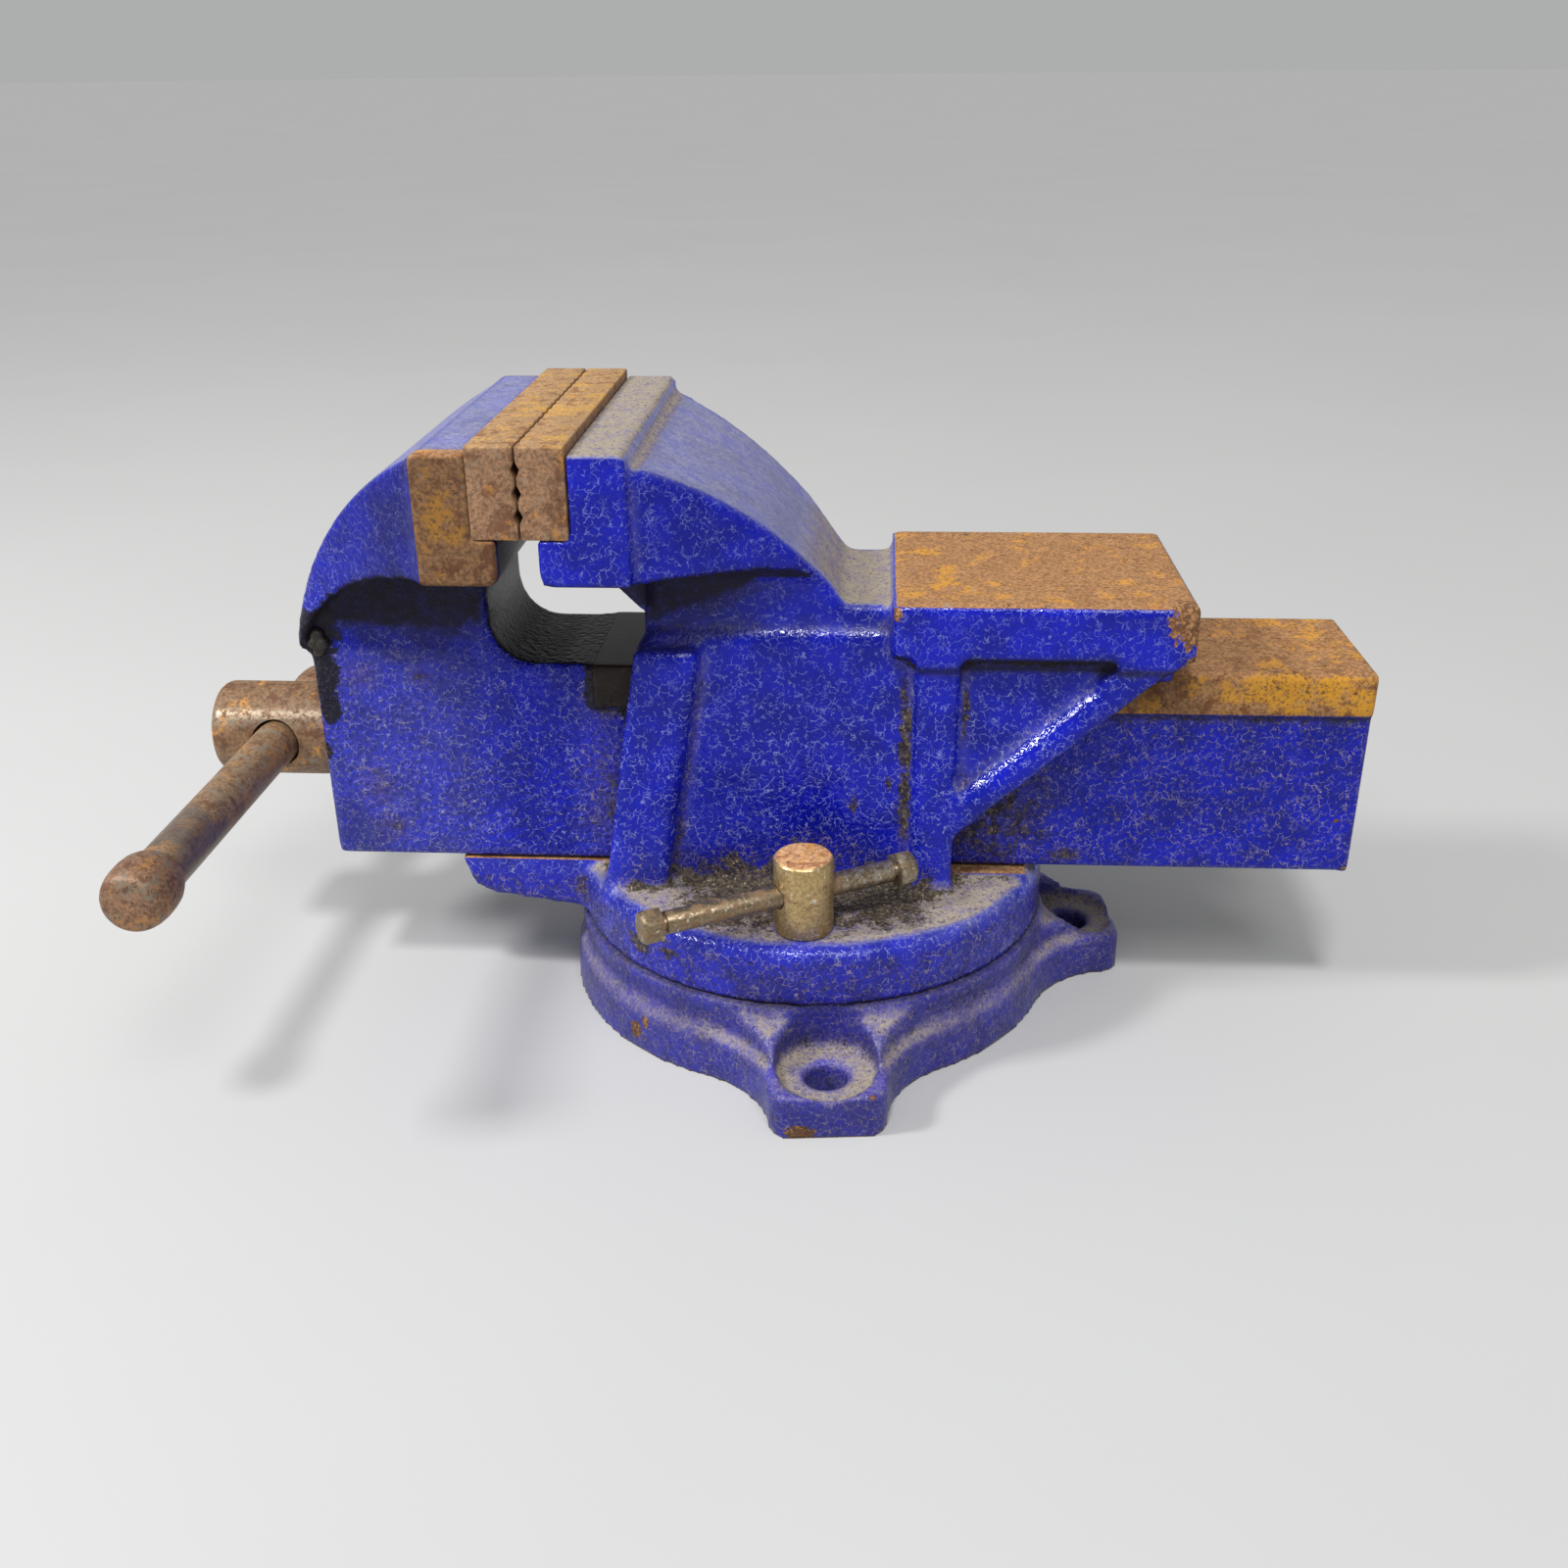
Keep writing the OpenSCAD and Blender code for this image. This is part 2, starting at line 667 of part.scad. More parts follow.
module plate_screw() {
    socket = plate_screw_d * 0.67;
    slope = (screw_head_d - plate_screw_d) / 2;
    rotate([0, 90, 0]) difference() {
        union() {
            translate([0, 0, screw_sink]) cylinder(d1 = screw_head_d, d2 = plate_screw_d, h = slope);
            translate([0, 0, screw_sink])
                cylinder(d = plate_screw_d, h = plate_thickness + screw_grip - screw_sink);
        }
        translate([0, 0, screw_sink - past]) cylinder(d = socket, h = slope + past, $fn = 6);
    }
}

// Places a plate or its screws on the fixed jaw, or turned about on the moving jaw
module on_fixed_jaw() {
    translate([fixed_plate_x - plate_thickness, 0, plate_bottom]) children();
}

module on_moving_jaw() {
    translate([moving_plate_x + plate_thickness, 0, plate_bottom]) rotate([0, 0, 180]) children();
}

module plate_screws() {
    color("dimgray") for (side = [-1, 1])
        translate([0, side * plate_screw_span / 2, plate_height / 2]) plate_screw();
}

// Spindle nut, standing on the floor inside the slide, and the bolt that holds it
module spindle_nut() {
    from = nut_centre_x - nut_length / 2;
    color("darkgoldenrod") difference() {
        union() {
            translate([0, 0, spindle_z]) cylinder_x(from, from + nut_length, 2 * nut_half);
            box([from, -nut_half, floor_top], [from + nut_length, nut_half, spindle_z]);
        }
        translate([0, 0, spindle_z])
            cylinder_x(from - past, from + nut_length + past, spindle_d + 2 * running_gap);
        translate([nut_centre_x, 0, floor_top - past])
            cylinder(d = nut_bolt_d + 2 * fit_gap, h = spindle_z - spindle_d / 2 - 5 - floor_top + past);
    }
}

module nut_bolt() {
    hex = 1.7 * nut_bolt_d;
    shank_end = spindle_z - spindle_d / 2 - 6;
    color("dimgray") translate([nut_centre_x, 0, 0]) {
        translate([0, 0, pocket_top - 6.4]) cylinder(d = hex / cos(30), h = 6.4, $fn = 6);
        translate([0, 0, pocket_top - 1]) cylinder(d = nut_bolt_d, h = shank_end - pocket_top + 1);
    }
}

// Clamp nut: hooks under the lip of the base and takes a lock screw
module clamp_nut() {
    color("dimgray") difference() {
        intersection() {
            translate([-clamp_width / 2, -lock_reach - clamp_length / 2, clamp_top - clamp_height])
                cube([clamp_width, clamp_length, clamp_height]);
            cylinder(r = hollow_radius - running_gap, h = base_height);
        }
        translate([0, -lock_reach, clamp_top - clamp_height - past])
            cylinder(d = lock_thread_d + 2 * fit_gap, h = clamp_height + 2 * past);
    }
}

// Lock screw: a round head with a cross hole for its bar
module lock_screw() {
    chamfer = 0.8;
    color("darkkhaki") translate([0, -lock_reach, 0]) difference() {
        union() {
            translate([0, 0, lock_seat]) cylinder(d = lock_head_d, h = lock_head_height - chamfer);
            translate([0, 0, lock_seat + lock_head_height - chamfer])
                cylinder(d1 = lock_head_d, d2 = lock_head_d - 2 * chamfer, h = chamfer);
            translate([0, 0, clamp_top - clamp_height])
                cylinder(d = lock_thread_d, h = lock_seat - clamp_top + clamp_height + past);
        }
        translate([0, 0, lock_bar_z]) rotate([0, 0, lock_bar_angle])
            cylinder_x(-lock_head_d, lock_head_d, lock_bar_d + 2 * running_gap);
    }
}

// Lock bar: a round bar with a neck and a six-sided, chamfered end on both sides
module lock_bar_tip(length) {
    corners = lock_bar_end / cos(30);
    chamfer = 1.4;
    intersection() {
        cylinder(d = corners, h = length, $fn = 6);
        union() {
            cylinder(d = corners + 1, h = length - chamfer);
            translate([0, 0, length - chamfer])
                cylinder(d1 = corners, d2 = lock_bar_end - 1, h = chamfer);
        }
    }
}

module lock_bar() {
    end = 5.2;
    neck = 1.4;
    half = lock_bar_length / 2;
    color("darkkhaki") translate([0, -lock_reach, lock_bar_z]) rotate([0, 0, lock_bar_angle])
        translate([-lock_bar_shift, 0, 0]) {
            cylinder_x(-half + end + neck, half - end - neck, lock_bar_d);
            cylinder_x(-half + end - past, half - end + past, lock_bar_d - 2);
            for (side = [0, 1]) mirror([side, 0, 0]) translate([half - end, 0, 0]) rotate([0, 90, 0])
                lock_bar_tip(end);
        }
}

// Spindle: round head with a cross hole, and the screw behind it
module spindle_head_section() {
    r = spindle_head_d / 2;
    round = 3;
    polygon(concat([[0, 0], [r, 0], [r, spindle_head_length - round]],
        [for (a = [15:15:90]) [r - round * (1 - cos(a)), spindle_head_length - round * (1 - sin(a))]],
        [[0, spindle_head_length]]));
}

module spindle() {
    color("rosybrown") on_spindle() difference() {
        union() {
            translate([head_x, 0, 0]) rotate([0, -90, 0]) rotate_extrude() spindle_head_section();
            cylinder_x(head_x - past, spindle_end_x - 2, spindle_d);
            translate([spindle_end_x - 2, 0, 0]) rotate([0, 90, 0])
                cylinder(d1 = spindle_d, d2 = spindle_d - 4, h = 2);
        }
        translate([handle_x, 0, 0]) rotate([90, 0, 0])
            cylinder(d = handle_d + 2 * handle_play, h = 2 * spindle_head_d, center = true);
        translate([pin_x, 0, 0]) rotate([90, 0, 0])
            cylinder(d = pin_d + 2 * fit_gap, h = 2 * spindle_d, center = true);
    }
}

// Spring behind the front wall, as one wire along a helix with closed-up ends
spring_steps = 12;
spring_sides = 6;
function spring_point(t) =
    let (a = 360 * t, run = spring_wire / 2 + (spring_length) * t / spring_turns)
    [spring_from + run, spring_radius * cos(a), spring_radius * sin(a)];
spring_line = [for (i = [0:spring_steps * spring_turns]) spring_point(i / spring_steps)];
spring_last = len(spring_line) - 1;
spring_least_gap = min([for (i = [0:spring_last], j = [i + spring_steps / 2:1:spring_last])
    norm(spring_line[j] - spring_line[i])]) - spring_wire;
echo(spring_least_gap = spring_least_gap);

module spindle_spring() {
    last = len(spring_line) - 1;
    rings = [for (i = [0:last]) let (
            a = 360 * i / spring_steps,
            out = [0, cos(a), sin(a)],
            along = [1, 0, 0])
        [for (k = [0:spring_sides - 1]) spring_line[i]
            + spring_wire / 2 * (cos(360 * k / spring_sides) * out + sin(360 * k / spring_sides) * along)]];
    points = [for (ring = rings) each ring];
    sides = [for (i = [0:last - 1], k = [0:spring_sides - 1]) let (
            p = i * spring_sides + k,
            q = i * spring_sides + (k + 1) % spring_sides)
        each [[p, q, q + spring_sides], [p, q + spring_sides, p + spring_sides]]];
    start = [for (k = [1:spring_sides - 2]) [0, k + 1, k]];
    tip = last * spring_sides;
    end = [for (k = [1:spring_sides - 2]) [tip, tip + k, tip + k + 1]];
    color("dimgray") on_spindle() polyhedron(points, concat(sides, start, end));
}

module spring_washer() {
    color("dimgray") on_spindle() difference() {
        cylinder_x(washer_from, washer_from + washer_thickness, 2 * (cavity_half - 0.8));
        cylinder_x(washer_from - past, washer_from + washer_thickness + past, spindle_d + 2 * running_gap);
    }
}

module split_pin() {
    color("silver") on_spindle() translate([pin_x, 0, 0]) rotate([90, 0, 0])
        cylinder(d = pin_d, h = 2 * (cavity_half - 1), center = true);
}

// Handle and its knobs, along Y before it is pushed through and leaned
module on_handle() {
    on_spindle() translate([handle_x, -handle_shift, 0]) children();
}

module handle_bar() {
    color("rosybrown") on_handle() rotate([90, 0, 0]) cylinder(d = handle_d,
        h = handle_length - handle_knob_length, center = true);
}

// Knob: a barrel with a low dome on its end and a socket for the bar
module knob_section() {
    r = handle_knob_d / 2;
    belly = 1.2 * handle_knob_d;
    dome = 0.78 * handle_knob_d;
    seat = handle_d / 2 + fit_gap;
    depth = handle_knob_length / 2 + fit_gap;
    difference() {
        intersection() {
            square([r, handle_knob_length]);
            translate([r - belly, 0.5 * handle_knob_length]) circle(belly);
            translate([0, handle_knob_length - dome]) circle(dome);
        }
        translate([-past, -past]) square([seat + past, depth + past]);
    }
}

module handle_knob() {
    color("rosybrown") on_handle() children();
}

module knob(side) {
    from = handle_length / 2 - handle_knob_length;
    rotate([side * 90, 0, 0]) translate([0, 0, from]) rotate_extrude() knob_section();
}

swivel_base();
swivelled() fixed_jaw();
swivelled() color("peru") on_fixed_jaw() jaw_plate();  // fixed_jaw_plate
swivelled() on_fixed_jaw() plate_screws();  // fixed_plate_screws
swivelled() spindle_nut();
swivelled() nut_bolt();
swivelled() clamp_nut();  // front_clamp_nut
swivelled() mirror([0, 1, 0]) clamp_nut();  // rear_clamp_nut
swivelled() moving_jaw();
swivelled() color("peru") on_moving_jaw() jaw_plate();  // moving_jaw_plate
swivelled() on_moving_jaw() plate_screws();  // moving_plate_screws
swivelled() spindle();
swivelled() spindle_spring();
swivelled() spring_washer();
swivelled() split_pin();
swivelled() handle_bar();
swivelled() handle_knob() knob(1);  // handle_knob_near
swivelled() handle_knob() knob(-1);  // handle_knob_far
swivelled() lock_screw();  // front_lock_screw
swivelled() lock_bar();  // front_lock_bar
swivelled() mirror([0, 1, 0]) lock_screw();  // rear_lock_screw
swivelled() mirror([0, 1, 0]) lock_bar();  // rear_lock_bar
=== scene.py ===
# %% [markdown]
# # A swivel base bench vise
# The CAD model gives every piece of the vise its place and size, and its joints. This script gives
# the pieces their looks: soft cast edges, hammered blue enamel, rust on the machined faces, dust,
# grease and wear. Lengths are in metres in the frame of the CAD model. The origin is on the swivel
# axis at the bench and Z is up.

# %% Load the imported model
import json
import math

import bpy
import numpy as np
from mathutils import Matrix, Vector
from mathutils.bvhtree import BVHTree

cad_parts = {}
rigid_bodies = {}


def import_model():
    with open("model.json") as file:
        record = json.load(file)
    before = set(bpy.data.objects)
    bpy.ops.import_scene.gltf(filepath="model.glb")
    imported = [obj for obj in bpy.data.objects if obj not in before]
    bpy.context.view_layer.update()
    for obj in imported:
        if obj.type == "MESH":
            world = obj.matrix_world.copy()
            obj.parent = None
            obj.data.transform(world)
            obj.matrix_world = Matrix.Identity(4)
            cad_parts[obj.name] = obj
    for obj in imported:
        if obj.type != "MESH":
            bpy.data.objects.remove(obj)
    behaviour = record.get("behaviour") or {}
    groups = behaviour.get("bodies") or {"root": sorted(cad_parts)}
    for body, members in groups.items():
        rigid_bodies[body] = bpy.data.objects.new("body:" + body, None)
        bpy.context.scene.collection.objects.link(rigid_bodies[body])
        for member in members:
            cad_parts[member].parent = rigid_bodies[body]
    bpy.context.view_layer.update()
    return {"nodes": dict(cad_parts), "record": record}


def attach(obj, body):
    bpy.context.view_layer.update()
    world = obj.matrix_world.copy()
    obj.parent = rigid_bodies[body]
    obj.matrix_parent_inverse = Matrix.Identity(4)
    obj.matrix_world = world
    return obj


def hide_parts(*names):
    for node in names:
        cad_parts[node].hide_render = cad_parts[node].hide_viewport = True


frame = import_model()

MM = 0.001
body_of = {node: body for body, nodes in frame["record"]["behaviour"]["bodies"].items() for node in nodes}

# %% [markdown]
# The upper vise stands turned by 5 degrees on its base. Its pieces are easiest to make with the
# slide along X, so they are made straight and turned at the end. The camera stands in front of the
# vise and looks down on it by about 25 degrees, from close by, so the near side looks larger.

# %% Camera
TURN = math.radians(-5)
HEADING, PITCH, ROLL = (math.radians(a) for a in (-1.554, 24.886, -0.513))
EYE = Vector((-19.09, -407.66, 245.68)) * MM
SENSOR = 36.0
IMAGE_SIDE = 1600
FOCAL_PIXELS = 1593.9

back = Vector((math.sin(HEADING) * math.cos(PITCH), -math.cos(HEADING) * math.cos(PITCH), math.sin(PITCH)))
level = Vector((math.cos(HEADING), math.sin(HEADING), 0))
above = back.cross(level)
right = level * math.cos(ROLL) + above * math.sin(ROLL)
up = above * math.cos(ROLL) - level * math.sin(ROLL)
camera_data = bpy.data.cameras.new("camera")
camera_data.sensor_width = SENSOR
camera_data.lens = SENSOR * FOCAL_PIXELS / IMAGE_SIDE
camera_data.clip_start = 0.01
camera = bpy.data.objects.new("camera", camera_data)
camera.matrix_world = Matrix((right, up, back)).transposed().to_4x4()
camera.matrix_world.translation = EYE
bpy.context.scene.collection.objects.link(camera)
bpy.context.scene.camera = camera
print("camera lens, mm:", round(camera_data.lens, 2))

# %% [markdown]
# Soft light shows the paint as it is. A broad light overhead gives most of it, so the hollows under
# the jaw heads stay dark. A small lamp on the left draws the sharp white streaks along glossy cast
# edges, and a soft one high in front lights the sides. The sky is a dim, pale grey.

# %% Light
SKY, SKY_STRENGTH = (0.93, 0.94, 0.94, 1), 0.45
OVERHEAD_STRENGTH, OVERHEAD_SPREAD = 1.44, math.radians(8)
OVERHEAD_TURN = (math.radians(24), math.radians(-8), 0)
VISE_MIDDLE = Vector((0, 0, 0.08))
scene = bpy.context.scene
scene.view_settings.view_transform = "Standard"


def lamp(name, place, size, watts):
    """A square lamp that is aimed at the middle of the vise."""
    data = bpy.data.lights.new(name, "AREA")
    data.size = size
    data.energy = watts
    made = bpy.data.objects.new(name, data)
    made.location = place
    made.rotation_euler = (VISE_MIDDLE - Vector(place)).to_track_quat("-Z", "Y").to_euler()
    scene.collection.objects.link(made)


world = bpy.data.worlds.new("pale sky")
world.use_nodes = True
world.node_tree.nodes["Background"].inputs["Color"].default_value = SKY
world.node_tree.nodes["Background"].inputs["Strength"].default_value = SKY_STRENGTH
scene.world = world
overhead_data = bpy.data.lights.new("overhead light", "SUN")
overhead_data.energy = OVERHEAD_STRENGTH
overhead_data.angle = OVERHEAD_SPREAD
overhead = bpy.data.objects.new("overhead light", overhead_data)
overhead.rotation_euler = OVERHEAD_TURN
scene.collection.objects.link(overhead)
lamp("left lamp", place=(-0.93, -0.23, 0.83), size=0.18, watts=9.0)
lamp("front lamp", place=(0.25, -1.05, 1.4), size=0.5, watts=8)

# %% [markdown]
# Every finish is a node material. This small helper adds one node at a time and returns what comes
# out of it, so that a finish below reads as a recipe. Patterns are placed by Object coordinates, so
# they stay on a piece when it moves, and sizes are given in metres.

# %% Helper for finishes


class Finish:
    """A material under construction. Each method adds one node and returns its output."""

    def __init__(self, name):
        self.material = bpy.data.materials.new(name)
        self.material.use_nodes = True
        self.nodes = self.material.node_tree.nodes
        self.links = self.material.node_tree.links
        self.shader = self.nodes["Principled BSDF"]
        self.where = self.node("ShaderNodeTexCoord").outputs["Object"]

    def feed(self, socket, value):
        if isinstance(value, bpy.types.NodeSocket):
            self.links.new(value, socket)
        else:
            socket.default_value = value

    def node(self, kind, inputs=(), **settings):
        made = self.nodes.new(kind)
        for key, value in settings.items():
            setattr(made, key, value)
        for key, value in dict(inputs).items():
            self.feed(made.inputs[key], value)
        return made

    def wander(self, size, reach):
        """Places pushed about by a soft noise, so that a pattern loses its regular look."""
        noise = self.node("ShaderNodeTexNoise", {"Vector": self.where, "Scale": 1 / size, "Detail": 2.0})
        push = self.node("ShaderNodeVectorMath", {0: noise.outputs[1], 1: (reach,) * 3, 2: self.where},
                         operation="MULTIPLY_ADD")
        return push.outputs[0]

    def stretch(self, turn, scale):
        """Places turned about Z and drawn out along the turned axes."""
        return self.node("ShaderNodeMapping", {"Vector": self.where, "Rotation": (0, 0, turn),
                                               "Scale": scale}).outputs[0]

    def noise(self, size, detail=3.0, rough=0.55, where=None):
        return self.node("ShaderNodeTexNoise", {"Vector": where or self.where, "Scale": 1 / size,
                                                "Detail": detail, "Roughness": rough}).outputs[0]

    def cells(self, size, where):
        """Distance from the nearest border in a pattern of cells."""
        return self.node("ShaderNodeTexVoronoi", {"Vector": where, "Scale": 1 / size},
                         feature="DISTANCE_TO_EDGE").outputs["Distance"]

    def attribute(self, name):
        return self.node("ShaderNodeAttribute", attribute_name=name).outputs["Fac"]

    def axis(self, name, where=None):
        return self.node("ShaderNodeSeparateXYZ", {0: where or self.where}).outputs[name]

    def fade(self, value, low, high, start=0.0, end=1.0):
        """Start below low, end above high, and a smooth change between them."""
        return self.node("ShaderNodeMapRange", {"Value": value, "From Min": low, "From Max": high,
                                                "To Min": start, "To Max": end},
                         interpolation_type="SMOOTHSTEP").outputs[0]

    def math(self, operation, first, second):
        return self.node("ShaderNodeMath", {0: first, 1: second}, operation=operation).outputs[0]

    def both(self, first, second):
        return self.math("MULTIPLY", first, second)

    def most(self, first, second):
        return self.math("MAXIMUM", first, second)

    def total(self, first, second):
        return self.math("ADD", first, second)

    def rest(self, whole, taken):
        return self.math("SUBTRACT", whole, taken)

    def colour(self, amount, under, over):
        under, over = ((*c, 1) if isinstance(c, tuple) else c for c in (under, over))
        return self.node("ShaderNodeMix", {0: amount, 6: under, 7: over}, data_type="RGBA").outputs[2]

    def number(self, amount, under, over):
        return self.node("ShaderNodeMix", {0: amount, 2: under, 3: over}, data_type="FLOAT").outputs[0]

    def relief(self, height, depth):
        return self.node("ShaderNodeBump", {"Height": height, "Distance": depth}).outputs[0]

    def done(self, **sockets):
        for name, value in sockets.items():
            if isinstance(value, tuple):
                value = (*value, 1)
            self.feed(self.shader.inputs[name.replace("_", " ")], value)
        return self.material


print("finish helper ready")

# %% [markdown]
# A wide, pale floor carries the vise and throws soft light back on its lower sides. It is a disc that
# reaches far past the camera's view, with a faint mottle. Before it is added, everything is deselected,
# because an operator acts on all that is selected.

# %% Floor
FLOOR_RADIUS = 30
FLOOR_GREY, FLOOR_PALE = (0.50, 0.50, 0.495), (0.54, 0.54, 0.535)


def deselect_all():
    for thing in list(bpy.context.selected_objects):
        thing.select_set(False)


deselect_all()
bpy.ops.mesh.primitive_circle_add(vertices=96, radius=FLOOR_RADIUS, fill_type="NGON")
floor = bpy.context.object
floor.name = "floor"
floor_finish = Finish("pale floor")
mottle = floor_finish.noise(0.25, 4)
floor.data.materials.append(floor_finish.done(
    Base_Color=floor_finish.colour(mottle, FLOOR_GREY, FLOOR_PALE), Roughness=0.75))
print("floor finish:", floor.data.materials[0].name)

# %% [markdown]
# Rust is the second main finish of this vise. It is a brown skin with paler, orange blooms and dark
# pits, dull and slightly rough. The recipe is kept as a function, because the machined faces of the
# castings, the jaw plates, the spindle and the handle all wear it in their own shades.

# %% Rust recipe
RUST_BROWN = (0.36, 0.182, 0.077)
RUST_ORANGE = (0.56, 0.26, 0.05)
RUST_DARK = (0.085, 0.042, 0.022)
BARE_GREY = (0.30, 0.255, 0.205)


def shade(colour, *factors):
    """A colour made lighter or darker, by one factor or by one for each channel."""
    return tuple(min(c * f, 1) for c, f in zip(colour, factors if len(factors) == 3 else factors * 3))


def rust(finish, brown=RUST_BROWN, orange=RUST_ORANGE, grey=BARE_GREY,
         bloom=0.54, pits=0.60, worn=0.62, warm=0.0, red_share=0.8):
    """Colour and height of a rusted face. Lower bloom, pits or worn show more of each."""
    cloud = finish.total(finish.noise(8 * MM, 5, 0.62), warm)
    blotch = finish.noise(4.5 * MM, 5, 0.68, finish.wander(9 * MM, 4 * MM))
    fine = finish.noise(0.9 * MM, 4, 0.68)
    grain = finish.noise(0.35 * MM, 2, 0.6)
    tone = finish.colour(finish.fade(fine, 0.34, 0.66), shade(brown, 0.58), shade(brown, 1.32))
    reddened = finish.both(finish.fade(blotch, 0.50, 0.60), red_share)
    tone = finish.colour(reddened, tone, shade(brown, 0.50, 0.36, 0.30))
    blooming = finish.both(finish.fade(cloud, bloom, bloom + 0.12), finish.fade(fine, 0.34, 0.54))
    tone = finish.colour(blooming, tone, orange)
    scuff = finish.noise(5 * MM, 6, 0.7, finish.wander(12 * MM, 3 * MM))
    tone = finish.colour(finish.both(finish.fade(scuff, worn, worn + 0.08), 0.8), tone, grey)
    spots = finish.noise(2.2 * MM, 4, 0.7)
    tone = finish.colour(finish.both(finish.fade(spots, pits, pits + 0.08), 0.85), tone, RUST_DARK)
    height = finish.total(finish.both(fine, 0.7), finish.both(grain, 0.3))
    return tone, height


print("rust recipe ready")

# %% [markdown]
# The castings wear hammered enamel. As it dries, this paint draws into small cells with pale,
# broken veins between them. A warped cell pattern gives the veins, a finer one gives short twigs,
# and noise breaks them up. A painted picture could show the same, but it would need seams.

# %% Veined paint
ENAMEL_DEEP = (0.0022, 0.0060, 0.25)
ENAMEL_BRIGHT = (0.0036, 0.0090, 0.40)
VEIN = (0.25, 0.285, 0.60)
VEIN_DUSTY = (0.30, 0.25, 0.25)
CELL = 2.1 * MM


def veined_paint(f):
    """Colour of the paint, and the distance from the nearest vein."""
    warped = f.wander(1.9 * MM, 2.2 * MM)
    edge = f.cells(CELL, warped)
    veins = f.both(f.fade(edge, 0.006, 0.050, 1, 0), f.fade(f.noise(1.7 * MM, 2), 0.46, 0.56))
    twigs = f.both(f.fade(f.cells(0.62 * CELL, warped), 0.006, 0.06, 1, 0),
                   f.fade(f.noise(2.6 * MM, 2), 0.54, 0.64))
    broken = f.fade(f.noise(6 * MM, 3), 0.36, 0.62, 0.72, 1.0)
    veins = f.both(f.most(veins, f.both(twigs, 0.8)), broken)
    enamel = f.colour(f.fade(f.noise(11 * MM, 3), 0.35, 0.65), ENAMEL_DEEP, ENAMEL_BRIGHT)
    dirty = f.total(f.attribute("dust"), f.attribute("soil"))
    vein = f.colour(f.fade(dirty, 0.02, 0.35), VEIN, VEIN_DUSTY)
    strength = f.fade(f.axis("Z"), 86 * MM, 108 * MM, 0.85, 0.58)
    return f.colour(f.both(veins, strength), enamel, vein), edge


print("vein cells, mm:", round(CELL / MM, 1))

# %% [markdown]
# Over the paint lie dust, loose dirt, grease, chips, machined faces and painted shade. Where they lie
# differs from casting to casting, so each casting carries that as values on its points, and one finish
# serves all three. Noise tears up the edge of each value, because dirt never ends in a clean line.

# %% Dust, dirt and bare metal
DUST, DUST_DARK = (0.36, 0.305, 0.235), (0.13, 0.10, 0.064)
# Colour of thin dust, and partly a painted sheen of the bright surroundings.
HAZE_AND_SHEEN = (0.41, 0.42, 0.48)
SOIL, SOIL_DARK = (0.115, 0.086, 0.054), (0.022, 0.017, 0.012)
FIBRE = (0.34, 0.27, 0.17)
CHIP_DARK = (0.13, 0.06, 0.026)
RUST_YELLOW = (0.58, 0.27, 0.022)


def dust_film(f, edge, grit):
    """Share and colour of the dust: a pale haze where it is thin, partly a painted sheen, grey-brown where
    it is thick.
    """
    dusty = f.attribute("dust")
    hollow = f.fade(edge, 0.0, 0.28, 1.0, 0.78)
    film = f.both(dusty, f.both(hollow, f.fade(grit, 0.25, 0.7, 0.85, 1.35)))
    film = f.both(film, f.fade(f.noise(4 * MM, 4, 0.65), 0.34, 0.62, 0.72, 1.08))
    film = f.math("MINIMUM", film, 0.97)
    brown = f.colour(f.fade(f.noise(1.1 * MM, 4, 0.7), 0.52, 0.66), DUST, DUST_DARK)
    thick = f.fade(f.total(dusty, f.both(f.attribute("soil"), 2.0)), 0.42, 0.72)
    return film, f.colour(thick, HAZE_AND_SHEEN, brown)


def loose_dirt(f):
    """Share, height and colour of soil with sawdust in it."""
    flakes = f.noise(0.75 * MM, 4, 0.75)
    patches = f.fade(f.noise(4.5 * MM, 5, 0.7), 0.38, 0.60, 0.36, 0.76)
    strewn = f.both(f.attribute("soil"), patches)
    speck = f.fade(f.total(f.both(flakes, 0.62), strewn), 0.50, 0.66)
    fibre = f.fade(f.noise(0.9 * MM, 3, 0.6, f.wander(2.5 * MM, 3 * MM)), 0.58, 0.67)
    crumbs = f.colour(f.fade(f.noise(1.3 * MM, 4, 0.7), 0.44, 0.60), SOIL_DARK, SOIL)
    return speck, flakes, f.colour(fibre, crumbs, FIBRE)


def torn(f, name, noise, weight, low, high):
    """The share of a value on the points, with its edge torn up by noise of some weight."""
    return f.fade(f.total(f.attribute(name), f.both(noise, weight)), low, high)


def bare_metal(f, chip):
    """Colour and height of machined faces, yellower where they are warm, darker in chips."""
    warm = f.attribute("warm")
    metal, height = rust(f, orange=f.colour(warm, RUST_ORANGE, RUST_YELLOW), warm=f.both(warm, 0.14),
                         red_share=f.fade(f.attribute("calm"), 0, 1, 0.85, 0.2))
    dark = f.both(chip, f.fade(f.noise(1.5 * MM, 4, 0.7), 0.43, 0.54))
    return f.colour(dark, metal, CHIP_DARK), height


print("layers over the paint ready")

# %% [markdown]
# The layers now go over each other in the order in which they came: paint, wear down to the metal,
# dust, dirt, grease, and last a dark layer that is painted shade with some grime, in sheltered corners
# and under overhangs. The grease also lays painted shade on undersides. Each layer also changes the
# gloss and the relief. The paint's own relief is a slight rise between the veins, which looks beaten.

# %% Hammered enamel
GREASE, GREASE_PALE = (0.0060, 0.0048, 0.0040), (0.030, 0.025, 0.019)
# Dark colour of painted shade with some grime, for sheltered corners and overhangs.
SHADE_AND_GRIME_COLOUR = (0.011, 0.0085, 0.0115)
PAINT_GLOSS, PAINT_SPECULAR = 0.11, 0.26
RELIEF_DEPTH = 0.12 * MM


